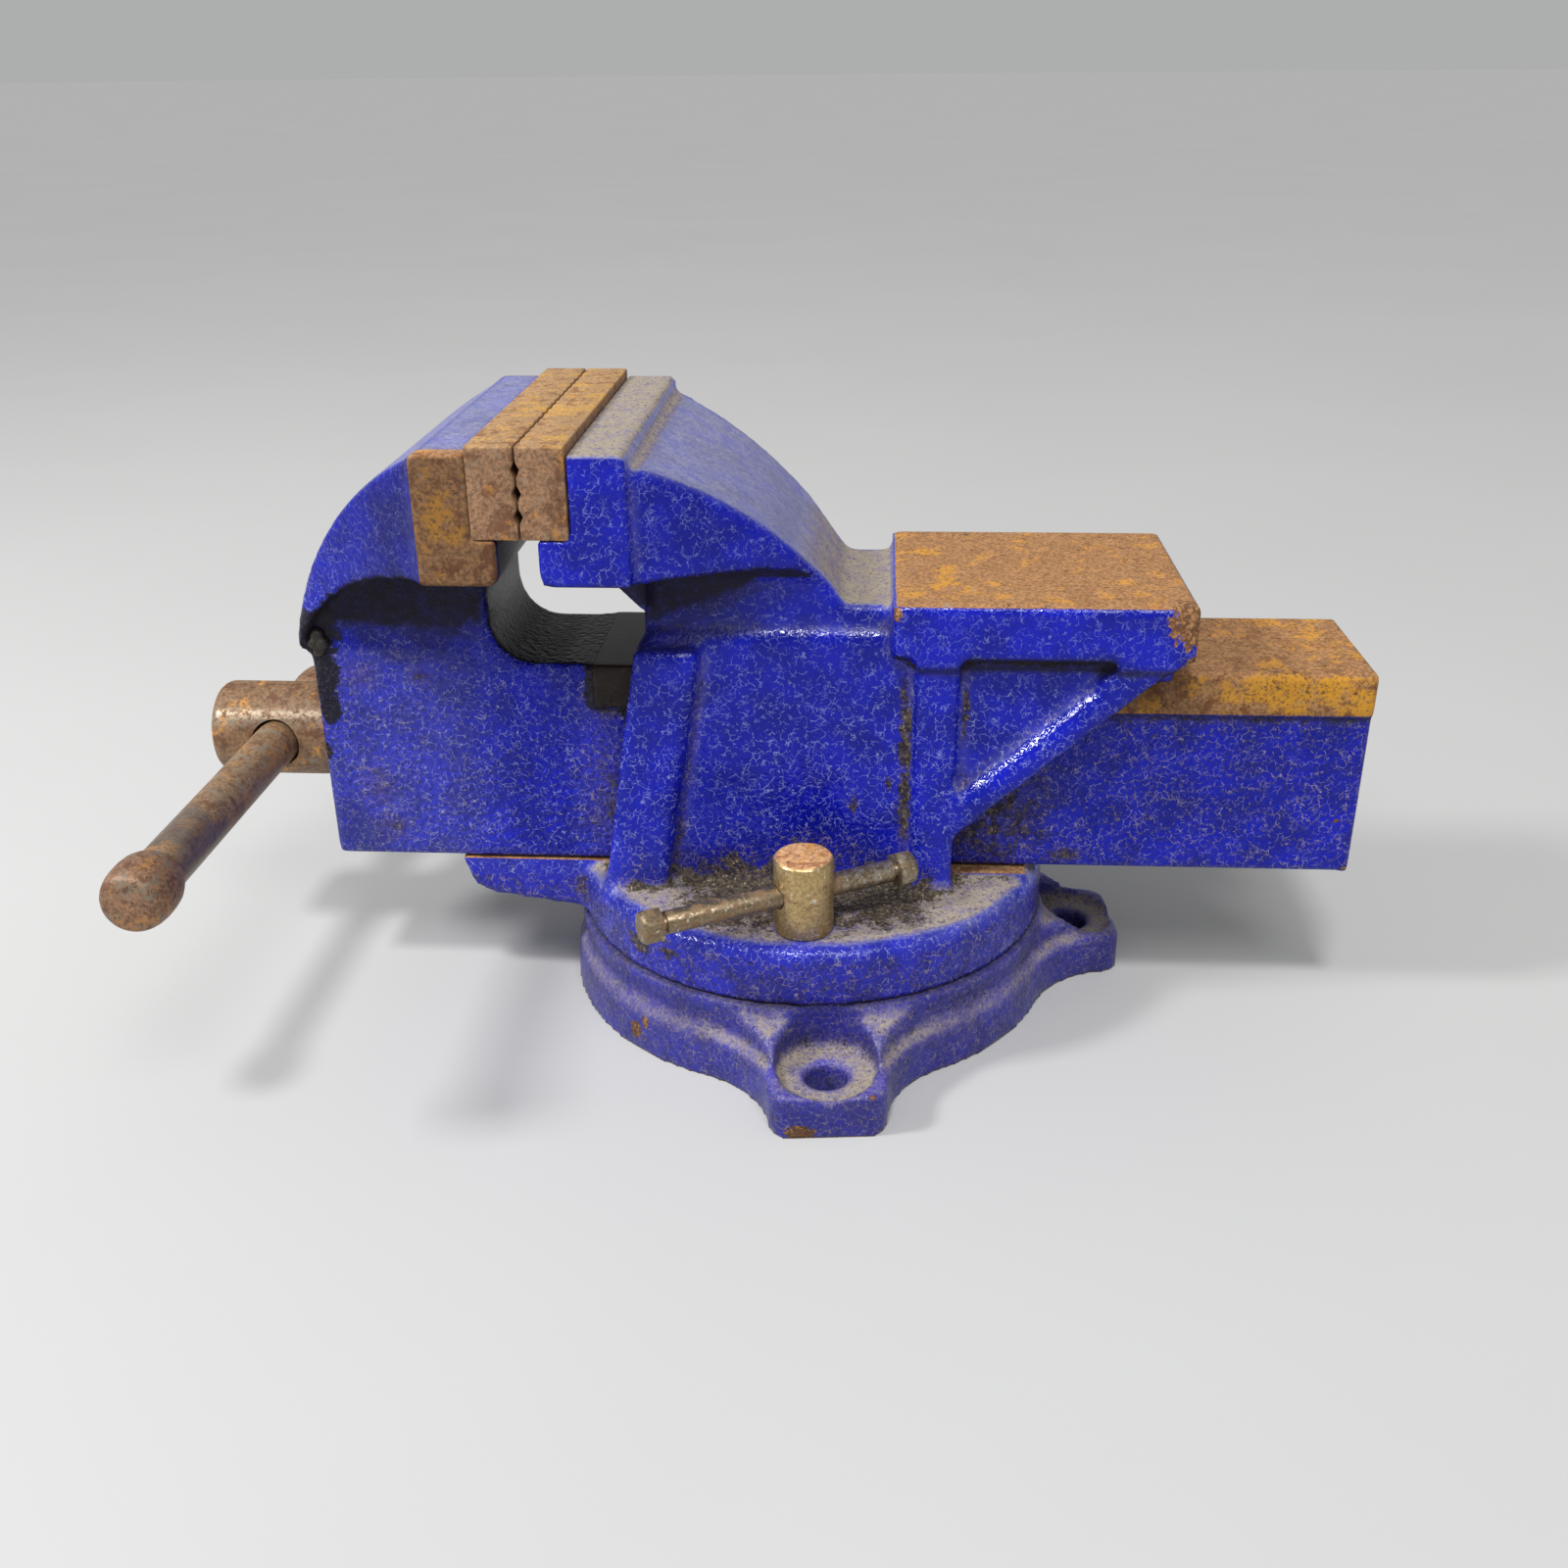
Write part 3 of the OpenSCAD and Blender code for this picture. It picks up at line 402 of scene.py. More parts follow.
def hammered_enamel():
    f = Finish("hammered blue enamel")
    enamel, edge = veined_paint(f)
    grit = f.noise(0.7 * MM, 3, 0.65)
    film, dust = dust_film(f, edge, grit)
    speck, flakes, crumbs = loose_dirt(f)
    grease = torn(f, "grease", f.noise(3.2 * MM, 6, 0.72), weight=1.5, low=1.10, high=1.24)
    chip = torn(f, "chip", f.noise(1.4 * MM, 4, 0.65), weight=0.75, low=0.83, high=0.88)
    machined = torn(f, "bare", f.noise(1.4 * MM, 3, 0.6), weight=0.24, low=0.58, high=0.68)
    bare = f.most(machined, chip)
    metal, metal_height = bare_metal(f, chip)
    uneven = f.fade(f.noise(3.0 * MM, 4, 0.65), 0.25, 0.6, 0.85, 1.0)
    shade_and_grime_share = f.both(f.attribute("grime"), uneven)
    painted = f.rest(1.0, bare)

    colour = f.colour(bare, enamel, metal)
    colour = f.colour(f.both(film, f.rest(1.0, f.both(bare, 0.85))), colour, dust)
    colour = f.colour(f.both(speck, f.rest(0.94, bare)), colour, crumbs)
    black = f.colour(f.fade(grit, 0.52, 0.66), GREASE, GREASE_PALE)
    colour = f.colour(f.both(grease, 0.95), colour, black)
    # Last, painted shade with some grime in it darkens sheltered corners and overhangs.
    colour = f.colour(shade_and_grime_share, colour, SHADE_AND_GRIME_COLOUR)

    gloss = PAINT_GLOSS
    for share, rough in ((bare, 0.78), (film, 0.85), (speck, 0.8), (grease, 0.36), (shade_and_grime_share, 0.70)):
        gloss = f.number(share, gloss, rough)
    height = f.both(f.fade(edge, 0.0, 0.30, 0.0, 0.55), painted)
    orange_peel = f.both(f.noise(1.7 * MM, 2, 0.5), f.both(f.attribute("peel"), painted))
    for layer in (f.both(metal_height, f.both(bare, 1.2)), f.both(grit, f.total(film, grease)),
                  f.both(flakes, f.both(speck, 2.5)), f.both(orange_peel, 11.0)):
        height = f.total(height, layer)
    return f.done(Base_Color=colour, Roughness=gloss, Normal=f.relief(height, RELIEF_DEPTH),
                  Specular_IOR_Level=PAINT_SPECULAR)


enamel_finish = hammered_enamel()
print("enamel nodes:", len(enamel_finish.node_tree.nodes))

# %% [markdown]
# Blender's operators act on the active piece, in object mode or in edit mode. Four short helpers say
# which piece that is, go into edit mode with everything selected, come back, and apply a modifier.

# %% Helpers for editing


def activate(piece):
    deselect_all()
    piece.select_set(True)
    bpy.context.view_layer.objects.active = piece


def edit(piece):
    activate(piece)
    bpy.ops.object.mode_set(mode="EDIT")
    bpy.ops.mesh.select_all(action="SELECT")


def leave():
    bpy.ops.object.mode_set(mode="OBJECT")


def apply_modifier(piece, kind, **settings):
    activate(piece)
    added = piece.modifiers.new(kind.lower(), kind)
    for key, value in settings.items():
        setattr(added, key, value)
    bpy.ops.object.modifier_apply(modifier=added.name)


print("editing helpers ready")

# %% [markdown]
# The pieces of the CAD model themselves are never touched. Where their shape is used, it is copied, and
# the copy's loose triangles are merged first. A piece is then moved or turned inside its mesh, so that
# its object stays at the origin, or cut with a plain brick.

# %% Helpers for copies and cuts
MERGE = 1e-5


def copy_of(node, name):
    """A piece with its own merged copy of a CAD node's mesh."""
    piece = bpy.data.objects.new(name, frame["nodes"][node].data.copy())
    scene.collection.objects.link(piece)
    piece.data.materials.clear()
    edit(piece)
    bpy.ops.mesh.remove_doubles(threshold=MERGE)
    leave()
    return piece


def turn_mesh(piece, angle, axis="Z", centre=(0, 0, 0)):
    shift = Matrix.Translation(centre)
    piece.data.transform(shift @ Matrix.Rotation(angle, 4, axis) @ shift.inverted())


def move_mesh(piece, x=0.0, y=0.0, z=0.0):
    piece.data.transform(Matrix.Translation(Vector((x, y, z)) * MM))


def cut(piece, cutter):
    apply_modifier(piece, "BOOLEAN", object=cutter, operation="DIFFERENCE", solver="EXACT")
    bpy.data.objects.remove(cutter)


def brick(name, low, high):
    """A plain brick between two corners, in mm, to cut or fill with."""
    deselect_all()
    bpy.ops.mesh.primitive_cube_add(size=1, location=(0, 0, 0))
    made = bpy.context.object
    made.name = name
    low, high = Vector(low) * MM, Vector(high) * MM
    made.data.transform(Matrix.Translation((low + high) / 2) @ Matrix.Diagonal((*(high - low), 1)))
    return made


print("copy and cut helpers ready")

# %% [markdown]
# A sand casting has no sharp edges: its corners are rounded and its inner corners are filled. The
# CAD solids are sharp, so each casting is copied and the copy is remeshed into small even faces.
# Smoothing these faces rounds all edges at once, as in the mould. Machined faces are held back from
# most of the smoothing, because a cutter leaves crisp edges.

# %% Helpers for castings
HELD_SHARE = 0.10
BASE_NODE = "swivel_base"


def points_of(piece):
    """Places of the points in millimetres, and their normals."""
    count = len(piece.data.vertices)
    places, normals = np.empty(3 * count, np.float32), np.empty(3 * count, np.float32)
    piece.data.vertices.foreach_get("co", places)
    piece.data.vertices.foreach_get("normal", normals)
    return places.reshape(-1, 3) / MM, normals.reshape(-1, 3)


def soften(piece, rounds, shares):
    """Smooths a piece, each share only at its own points."""
    group = piece.vertex_groups.new(name="soft")
    for share, chosen in shares:
        group.add([int(i) for i in np.flatnonzero(chosen)], share, "REPLACE")
    apply_modifier(piece, "SMOOTH", factor=0.5, iterations=rounds, vertex_group=group.name)
    piece.vertex_groups.clear()


def cast(node, name, voxel, rounds, crisp, shape=None, softer=None):
    """A soft-edged copy of a casting. crisp and softer say where it is smoothed less and more."""
    piece = copy_of(node, name)
    if node != BASE_NODE:
        turn_mesh(piece, -TURN)
    if shape:
        shape(piece)
    apply_modifier(piece, "REMESH", mode="VOXEL", voxel_size=voxel, use_smooth_shade=True)
    places, _ = points_of(piece)
    held = crisp(places)
    soften(piece, rounds, [(1.0, ~held), (HELD_SHARE, held)])
    if softer:
        soften(piece, 2 * rounds, [(1.0, softer(places))])
    print(name, "faces:", len(piece.data.polygons))
    return piece


def finish_casting(piece, node):
    if node != BASE_NODE:
        turn_mesh(piece, TURN)
    piece.data.materials.append(enamel_finish)
    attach(piece, body_of[node])
    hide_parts(node)


print("casting helpers ready")

# %% [markdown]
# Wear is worked out at each point of a casting as a share from 0 to 1, and kept there for the enamel
# to read. A ramp turns a measure into a share. Marks that follow no rule, such as drips and knocks,
# are given one by one as soft spots.

# %% Helpers for wear
POINT_VALUES = ("dust", "soil", "grease", "chip", "bare", "grime", "warm", "calm", "peel")


def ramp(values, low, high):
    return np.clip((values - low) / (high - low), 0, 1)


def share(values):
    return np.clip(values, 0, 1)


def marks(places, spots):
    """The strongest of some soft marks at each point. A mark is x, y, z, reach and height to width."""
    found = np.zeros(len(places))
    for x, y, z, reach, tall in spots:
        away = (places - (x, y, z)) / (reach, reach, reach * tall)
        found = np.maximum(found, 1 - np.linalg.norm(away, axis=1))
    return share(found)


def store(piece, **values):
    """Keeps the values of a casting on its points, zero where none is given."""
    for name in POINT_VALUES:
        numbers = np.zeros(len(piece.data.vertices), np.float32)
        numbers[:] = values.get(name, 0)
        piece.data.attributes.new(name, "FLOAT", "POINT").data.foreach_set("value", numbers)


print("values on the points:", ", ".join(POINT_VALUES))

# %% [markdown]
# Most wear follows the form. Dust lies on what faces up, paint is rubbed thin on edges, and dirt stays
# in hollows. Corners that see little of the high sky get painted shade, with some grime. The mesh can
# tell all of this: its normals say what faces up and how sharply it bends, and rays towards the high
# sky say how sheltered a point is, which sets that painted shade.

# %% Measuring a casting
SKY_REACH, SKY_RAYS, SKY_LOWEST = 60.0, 22, 0.45


def bend_of(piece, places, normals):
    """How sharply the surface bends at each point, per millimetre: positive on edges."""
    ends = np.empty(2 * len(piece.data.edges), np.int32)
    piece.data.edges.foreach_get("vertices", ends)
    a, b = ends.reshape(-1, 2).T
    along = places[b] - places[a]
    bend = np.einsum("ij,ij->i", normals[b] - normals[a], along) / np.maximum((along ** 2).sum(1), 1e-6)
    for _ in range(3):
        total, count = np.zeros(len(places)), np.full(len(places), 1e-6)
        for end in (a, b):
            np.add.at(total, end, bend)
            np.add.at(count, end, 1)
        mean = total / count
        bend = (mean[a] + mean[b]) / 2
    return mean


def shelter_of(piece, places, normals):
    """The share of the high sky over each point that the casting itself shuts off."""
    tree = BVHTree.FromObject(piece, bpy.context.evaluated_depsgraph_get())
    steps = np.arange(SKY_RAYS) + 0.5
    rise = SKY_LOWEST + (1 - SKY_LOWEST) * steps / SKY_RAYS
    spin, flat = steps * math.pi * (3 - math.sqrt(5)), np.sqrt(1 - rise ** 2)
    sky = np.stack((flat * np.cos(spin), flat * np.sin(spin), rise), axis=1)
    facing = normals @ sky.T
    shut = np.ones(len(places))
    for number, place in enumerate(places + 0.8 * normals):
        seen = np.flatnonzero(facing[number] > 0.10)
        if len(seen) > 2:
            start = Vector(place) * MM
            hits = [tree.ray_cast(start, Vector(sky[i]), SKY_REACH * MM)[0] is not None for i in seen]
            shut[number] = np.average(hits, weights=facing[number][seen])
    return shut


def survey(piece, up, hollow, edge):
    """What wear and painted shade follow at each point: place, normal, and how far it is top, hollow, edge,
    sheltered.
    """
    places, normals = points_of(piece)
    bend = bend_of(piece, places, normals)
    return (places, normals, ramp(normals[:, 2], *up), ramp(-bend, *hollow), ramp(bend, *edge),
            shelter_of(piece, places, normals))


print("sky rays from each point:", SKY_RAYS)

# %% [markdown]
# The swivel base is a cast ring with three bolt lugs. Dust lies on its upper faces, thickest on the
# flats round the bolt holes, and dirt darkens the seam under the flange. Painted shade, with some grime,
# darkens its sides and sheltered places, and soil over the whole base darkens it too, partly as painted
# shade. The paint is chipped on the rim at the front left, at the foot of the near lug and along the near
# lug's front edge.

# %% Swivel base
BASE_TOP, RING_RADIUS = 23.0, 63.0
base = cast(BASE_NODE, "base_casting", voxel=1.15 * MM, rounds=7, crisp=lambda p: p[:, 2] < 0.9)
places, normals, facing_up, hollow, edge, shut = survey(
    base, up=(0.05, 0.95), hollow=(0.04, 0.22), edge=(0.05, 0.16))
x, y, z = places.T
radius = np.hypot(x, y)
lugs = ramp(radius, 66, 68.5)
seam = ramp(z, BASE_TOP - 0.5, BASE_TOP)
machined_ring = ramp(normals[:, 2] * (z > BASE_TOP - 0.1), 0.9, 0.99) * (radius < RING_RADIUS)
chips = marks(places, [
    (-50.6, -48.0, 6.0, 4.2, 1.2), (-47.5, -50.0, 9.5, 2.4, 1.4), (-7.5, -90, 2.0, 7.5, 0.55),
    (-12.5, -88, 5.5, 2.2, 1.0), (3.4, -90, 12.3, 1.8, 0.8), (11, -90, 12.0, 2.2, 0.8),
    (88, 6, 3, 4.5, 0.6), (-69, 12, 9, 2.4, 1.2), (30, 62, 11, 2.4, 1.0), (10, 90, 3, 3.5, 0.6)])
store(base, chip=chips, peel=0.25,
      dust=share(facing_up * (0.50 + 0.22 * lugs) * (1 - 0.75 * edge) + 0.25 * hollow + 0.11),
      # Soil over the whole base, a little more on the sides: dirt, and partly painted shade.
      soil=0.08 * hollow + 0.27 - 0.06 * facing_up,
      bare=(z < 0.4) + machined_ring,
      # The dark layer: painted shade on the sides and in sheltered places with some grime, and dirt in the
      # seam.
      grime=np.maximum(0.30 + 0.3 * ramp(shut, 0.4, 0.9) - 0.30 * facing_up, 0.55 * seam))
finish_casting(base, BASE_NODE)

# %% [markdown]
# Two gussets carry the anvil. Each has a sloping band, whose inner edge is blunt and catches the light
# as one long streak. Smoothing alone would leave that edge too round for a streak, so a brick planes it
# off, and the plane is kept crisp and clean.

# %% Gusset edges
GUSSET_SLOPE, GUSSET_FOOT = math.radians(42), (39, 33.7, 66.9)
FACET_DEPTH, FACET_START, FACET_END = 1.7, 2.5, 49
FACET_INWARD, FACET_SIDEWAYS = 0.76, 0.65


def facet_axes(side):
    """The direction of a gusset's band, the way its planed inner edge faces, and the way across it."""
    along = Vector((math.cos(GUSSET_SLOPE), 0, math.sin(GUSSET_SLOPE)))
    inward = Vector((-along.z, 0, along.x))
    face = (FACET_INWARD * inward + FACET_SIDEWAYS * Vector((0, side, 0))).normalized()
    return along, face, face.cross(along)


def on_facet(p, side):
    from_foot = p - (GUSSET_FOOT[0], side * GUSSET_FOOT[1], GUSSET_FOOT[2])
    along, out, across = (from_foot @ np.array(axis) for axis in facet_axes(side))
    near = (np.abs(out + FACET_DEPTH) < 0.9) & (np.abs(across) < 2.4)
    return near & (along > FACET_START - 0.5) & (along < FACET_END)


def gusset_plane(side):
    """A brick along the inner edge of a gusset's sloping band, set to plane that edge off."""
    made = brick("gusset plane", (FACET_START, -5, -FACET_DEPTH), (FACET_END, 5, 6))
    along, face, across = facet_axes(side)
    foot = Vector((GUSSET_FOOT[0], side * GUSSET_FOOT[1], GUSSET_FOOT[2])) * MM
    made.data.transform(Matrix.Translation(foot) @ Matrix((along, across, face)).transposed().to_4x4())
    return made


print("planed edge of the gussets, mm:", FACET_END - FACET_START)

# %% [markdown]
# The fixed jaw is the largest casting: swivel flange, body with ribs and recessed panels, arched jaw
# head and anvil. Before it is softened, its copy gets its small forms: the rear ribs are set back
# behind the anvil's sides, the gussets' edges are planed, and the inner corner of the throat is filled.

# %% Fixed jaw
ANVIL_TOP, ANVIL_FRONT, ANVIL_FOOT, ANVIL_HALF = 121.8, 22.0, 105.0, 35.0
FLOOR_TOP, TUNNEL_TOP = 41.7, 101.2
THROAT_X, THROAT_Z, THROAT_HALF, THROAT_FILLET = -41.0, 130.3, 36.0, 11.0
RIB_FRONT, RIB_BACK, RIB_FOOT, RIB_SET_BACK = 27.0, 101.0, 42.5, 1.3


def fixed_shape(piece):
    """Sets the rear ribs back, planes the gussets' edges and fills the inner corner of the throat."""
    for side in (-1, 1):
        cut(piece, brick("set back", (RIB_FRONT, side * ANVIL_HALF - RIB_SET_BACK, RIB_FOOT),
                         (RIB_BACK, side * ANVIL_HALF + RIB_SET_BACK, ANVIL_FOOT)))
        cut(piece, gusset_plane(side))
    reach = THROAT_FILLET + 0.5
    filling = brick("throat fillet", (THROAT_X - reach, -THROAT_HALF, THROAT_Z - reach),
                    (THROAT_X + 1, THROAT_HALF, THROAT_Z + 1))
    edit(filling)
    bpy.ops.mesh.bisect(plane_co=((THROAT_X - THROAT_FILLET) * MM, 0, THROAT_Z * MM), plane_no=(1, 0, 1),
                        use_fill=True, clear_inner=True)
    leave()
    activate(piece)
    filling.select_set(True)
    bpy.ops.object.join()


def fixed_crisp(p):
    x, y, z = p.T
    anvil = (x > ANVIL_FRONT - 1) & ((z > 117.5) | ((x > RIB_FRONT) & (z > ANVIL_FOOT - 2.5)))
    tunnel = (np.abs(y) < 24.5) & (z > FLOOR_TOP - 1) & (z < TUNNEL_TOP + 0.3)
    block = (x < -35) & (np.abs(y) > 45.5) & (z > 128)
    seat = (x < -53.5) & (z > 140)
    return anvil | tunnel | block | seat | (z < 24.6) | on_facet(p, -1) | on_facet(p, 1)


def flange_rim(p):
    x, y, z = p.T
    return (np.hypot(x, y) > 58) & (z > 33) & (z < 44) & (np.abs(y) > 25)


fixed = cast("fixed_jaw", "fixed_jaw_casting", voxel=1.3 * MM, rounds=9, crisp=fixed_crisp,
             shape=fixed_shape, softer=flange_rim)

# %% [markdown]
# The anvil's top is machined and rusted all over, with orange blooms at its front end. Its near corner
# is knocked bare. Sand and dust fill the valley in front of the anvil and lie on the arch, sawdust and
# dirt lie on the flange round the lock screw, and dark drips run down beside the rear rib. Painted
# shade, with some grime, darkens the places the high sky can't reach and a line under the anvil's
# step, and the grease lays painted shade on the undersides.

# %% Wear of the fixed jaw
places, normals, facing_up, hollow, edge, shut = survey(
    fixed, up=(0.30, 0.80), hollow=(0.03, 0.16), edge=(0.03, 0.09))
x, y, z = places.T
flange_top = ramp(45 - z, 0, 1.5) * facing_up
valley = ramp(x, -4, 6) * ramp(24.5 - x, 0, 3) * ramp(z, 112, 116) * facing_up
behind_plate = ramp(-38.0 - x, 0, 3) * ramp(z, 157, 160) * facing_up
crumb_line = ramp(-52.4 - x, 0, 2.2) * behind_plate
arch = ramp(22 - x, 0, 4) * ramp(z, 115, 120) * facing_up
# Undersides get grease that is partly painted shade.
under = ramp(-normals[:, 2], 0.25, 0.7) * ramp(z, 104, 108)
rim = ramp(np.hypot(x, y), 61, 63.5) * (z > 34) * (z < 44) * ramp(-y, 20, 40) * ramp(38 - x, 0, 15)
facet = on_facet(places, -1) | on_facet(places, 1)
clean = (1 - facet) * (1 - 0.9 * edge * ramp(z, 30, 38) * (1 - 0.7 * behind_plate)) * (1 - 0.9 * rim)
# A dark line under the anvil's step: painted shade, with some grime.
shade_line_under_anvil = (ramp(z, ANVIL_FOOT - 2.4, ANVIL_FOOT - 1.2) * (z < ANVIL_FOOT) * (np.abs(y) > 31)
             * ramp(x, 24, 27) * (x < 95))
near_lock = marks(places, [(0, -42, 40, 23, 1.0), (-18, -41, 40, 21, 0.7), (20, -40, 40, 18, 0.7)])
tan_patch = marks(places, [(43, -44.5, 40, 13, 1.0), (50, -40, 40, 9, 1.0)])
drips = marks(places, [
    (25.5, -29.5, 84, 3.2, 5.0), (25.8, -29.5, 66, 3.4, 4.0), (24.8, -29.5, 96, 1.8, 4.0),
    (21.4, -29.5, 70, 1.7, 2.6), (12.3, -29.5, 64.5, 1.9, 2.4), (41.5, -30, 92, 1.4, 7.0),
    (60, -31, 105.6, 16, 0.12), (42, -31, 105.4, 6, 0.2), (29, -31, 105, 4.0, 0.5),
    (-36, -56, 37, 5, 1.5), (-45, -49, 33, 6, 0.8)])
chips = marks(places, [
    (98.8, -35, 118.5, 15.5, 0.95), (99.0, -35, 105.6, 8.4, 1.0), (98, -33, 118, 3.6, 1.0),
    (22.4, -34.6, 119.4, 3.8, 0.9), (97, 35, 121, 3.2, 0.8), (98, 12, 121, 2.6, 0.7),
    (-97, 10, 36, 3.0, 1.0)])
tunnel = (np.abs(y) < 24.2) & (z > FLOOR_TOP - 0.6) & (z < TUNNEL_TOP)
tongue = ramp(0.2975 - np.abs(z - FLOOR_TOP), 0, 0.275) * (x > 36) * (np.abs(y) < 26)
anvil_face = ramp(z, ANVIL_TOP - 0.8, ANVIL_TOP - 0.2) * (x > ANVIL_FRONT - 0.6)
flange_foot = (z < 24.0) * ramp(-normals[:, 2], 0.94, 0.99)
dust = (0.56 * flange_top + 0.86 * valley + 0.95 * behind_plate + 0.47 * arch
        + 0.9 * tan_patch * flange_top + 0.3 * facing_up * (z < 100)) * clean
soil = (near_lock + 0.75 * drips + 0.30 * hollow + 0.28 * ramp(66 - z, 0, 22) * (z > 40.5)
        + 0.15 * flange_top + 0.5 * crumb_line)
store(fixed, chip=chips, peel=0.1 * (1 - facet), calm=0.85 * (z > 117),
      dust=share(dust + 0.12 * hollow * (1 - facet) + 0.05 * ramp(60 - z, 0, 30)),
      soil=share(soil) * clean + 0.30 * ramp(38 - z, 0, 2),
      grease=share(0.34 * drips + 0.3 * under + 0.22 * near_lock * flange_top),
      bare=tunnel + tongue + anvil_face + flange_foot,
      # The dark layer: painted shade with some grime where the high sky is shut off, and the line under the
      # anvil's step.
      grime=np.maximum(0.96 * ramp(shut, 0.35, 0.85) * ramp(z, 34, 40), 0.7 * shade_line_under_anvil),
      warm=0.5 * marks(places, [(36, -18, 122, 20, 1.0), (30, 10, 122, 12, 1.0)]))
finish_casting(fixed, "fixed_jaw")
print("points with dust on the fixed jaw:", int((dust > 0.1).sum()))

# %% [markdown]
# The moving jaw is the slide with its neck and arched head. The rails along the top of the slide are
# machined, bare and rusted, with orange spots on their sides. The ends of the jaw block are ground
# bare. Black grease sits on the throat and at the lower front corner of the head, a faint grease that
# is partly painted shadow lies on the neck under the head, and grey-brown dirt is smeared where the
# slide enters the body.

# %% Moving jaw
SLIDE_TOP, SLIDE_END, RAIL_FOOT, RAIL_START = 100.3, 147.5, 88.95, -57.6
MOVING_BLOCK_BACK, MOVING_PLATE_BACK = -93.4, -79.2


def moving_crisp(p):
    x, y, z = p.T
    rail = (x > RAIL_START - 3) & (z > RAIL_FOOT - 3) & (z < SLIDE_TOP + 1)
    block = (x > MOVING_BLOCK_BACK - 1) & (z > 129) & (np.abs(y) > 47)
    seat = (x > MOVING_PLATE_BACK - 2) & (z > 140)
    return rail | block | seat | (x > SLIDE_END - 1.5)


moving = cast("moving_jaw", "moving_jaw_casting", voxel=1.3 * MM, rounds=7, crisp=moving_crisp)

# %% [markdown]
# Grease and dirt gather where the slide works: in the throat, along the rails and at the mouth of the
# body. The near side also has faint stains and small chips, and the far side is cleaner. Painted shade,
# with some grime, darkens places the high sky can't reach, the web under the head's wings, the rails'
# near sides under the anvil and a band under the rails' foot, and the grease lays painted shade on the
# undersides.

# %% Wear of the moving jaw
places, normals, facing_up, hollow, edge, shut = survey(
    moving, up=(0.30, 0.80), hollow=(0.03, 0.16), edge=(0.045, 0.13))
x, y, z = places.T
near_side = ramp(-normals[:, 1], 0.5, 0.8)
rails = (ramp(z, RAIL_FOOT - 0.3, RAIL_FOOT + 0.3) * (z < 101)
         * ramp(x, RAIL_START - 0.4, RAIL_START + 0.4))
# A dark band under the rails' foot: painted shade, with some grime.
rail_shade = (ramp(z, RAIL_FOOT - 2.6, RAIL_FOOT - 0.9) * (z < RAIL_FOOT + 0.1)
              * ramp(x, 34, 36) * (x < SLIDE_END))
block_end = (ramp(np.abs(y), 49.6, 50.3) * (z > 129)
             * ramp(x, MOVING_BLOCK_BACK + 0.2, MOVING_BLOCK_BACK + 1))
block_top = (ramp(z, 160.5, 161.5) * ramp(-44.0 - y, 0, 2)
             * ramp(x, MOVING_BLOCK_BACK, MOVING_BLOCK_BACK + 1.5))
cavity = (np.abs(y) < 16.2) & (z < 93) & (x > -122)
slide_end = ramp(normals[:, 0] * (x > SLIDE_END - 0.5), 0.8, 0.95)
throat = (ramp(x, -85.5, -84.0) * ramp(-32.0 - x, 0, 16) * ramp(z, 99.2, 100.0) * (z < 142)
          * (np.abs(y) < 49.2) * (1 - ramp(np.abs(normals[:, 1]), 0.4, 0.7)))
entry = ramp(x, -61.5, -58.0) * ramp(-30.0 - x, 0, 16) * ramp(z, 84, 91) * (z < 101)
# Undersides get grease that is partly painted shade.
under = ramp(-normals[:, 2], 0.25, 0.7) * ramp(z, 103, 110)
# Under the head: a faint grease that is partly painted shadow of the head.
grease_and_shade_under_head = ramp(z, 103, 115) * (np.abs(y) < 24) * (x < -84) * (z < 131)
# The web under the head's wings: painted shade with some grime.
shade_under_head_sides = ramp(z, 118, 132) * ramp(np.abs(y), 26, 44) * (1 - facing_up)
smears = marks(places, [
    (-133, -22, 108, 11, 1.3), (-131, -21.7, 96, 7.5, 1.6), (-130, -21.7, 87, 4.5, 1.6),
    (-135, -12, 106, 12, 0.9), (-134, 12, 106, 10, 0.8), (-48, -22.5, 95, 9.5, 0.8),
    (-45.5, -22, 86, 6.0, 2.0), (-47, -22, 62, 5.0, 3.6), (-133, -21.7, 74, 3.2, 1.2)])
stains = marks(places, [
    (-121, -21.7, 96.5, 7, 0.8), (-104, -21.7, 96.5, 5, 0.7), (-119.5, -21.7, 64, 7, 1.5),
    (-117, -21.7, 51, 8, 0.8), (-55, -21.7, 60, 12, 3.0), (-55, -21.7, 88, 9, 1.2),
    (70, -21.7, 46, 7, 0.5), (50, -21.7, 60, 20, 1.2)])
chips = marks(places, [
    (147, -21.7, 43.5, 2.6, 0.6), (67.5, -21.7, 44, 1.8, 0.8), (142.2, -21.7, 58, 1.4, 1.0),
    (134, -21.7, 76, 1.0, 1.0), (126, -21.7, 68.7, 0.9, 1.0), (147, 14, 60, 2.5, 1.0)])
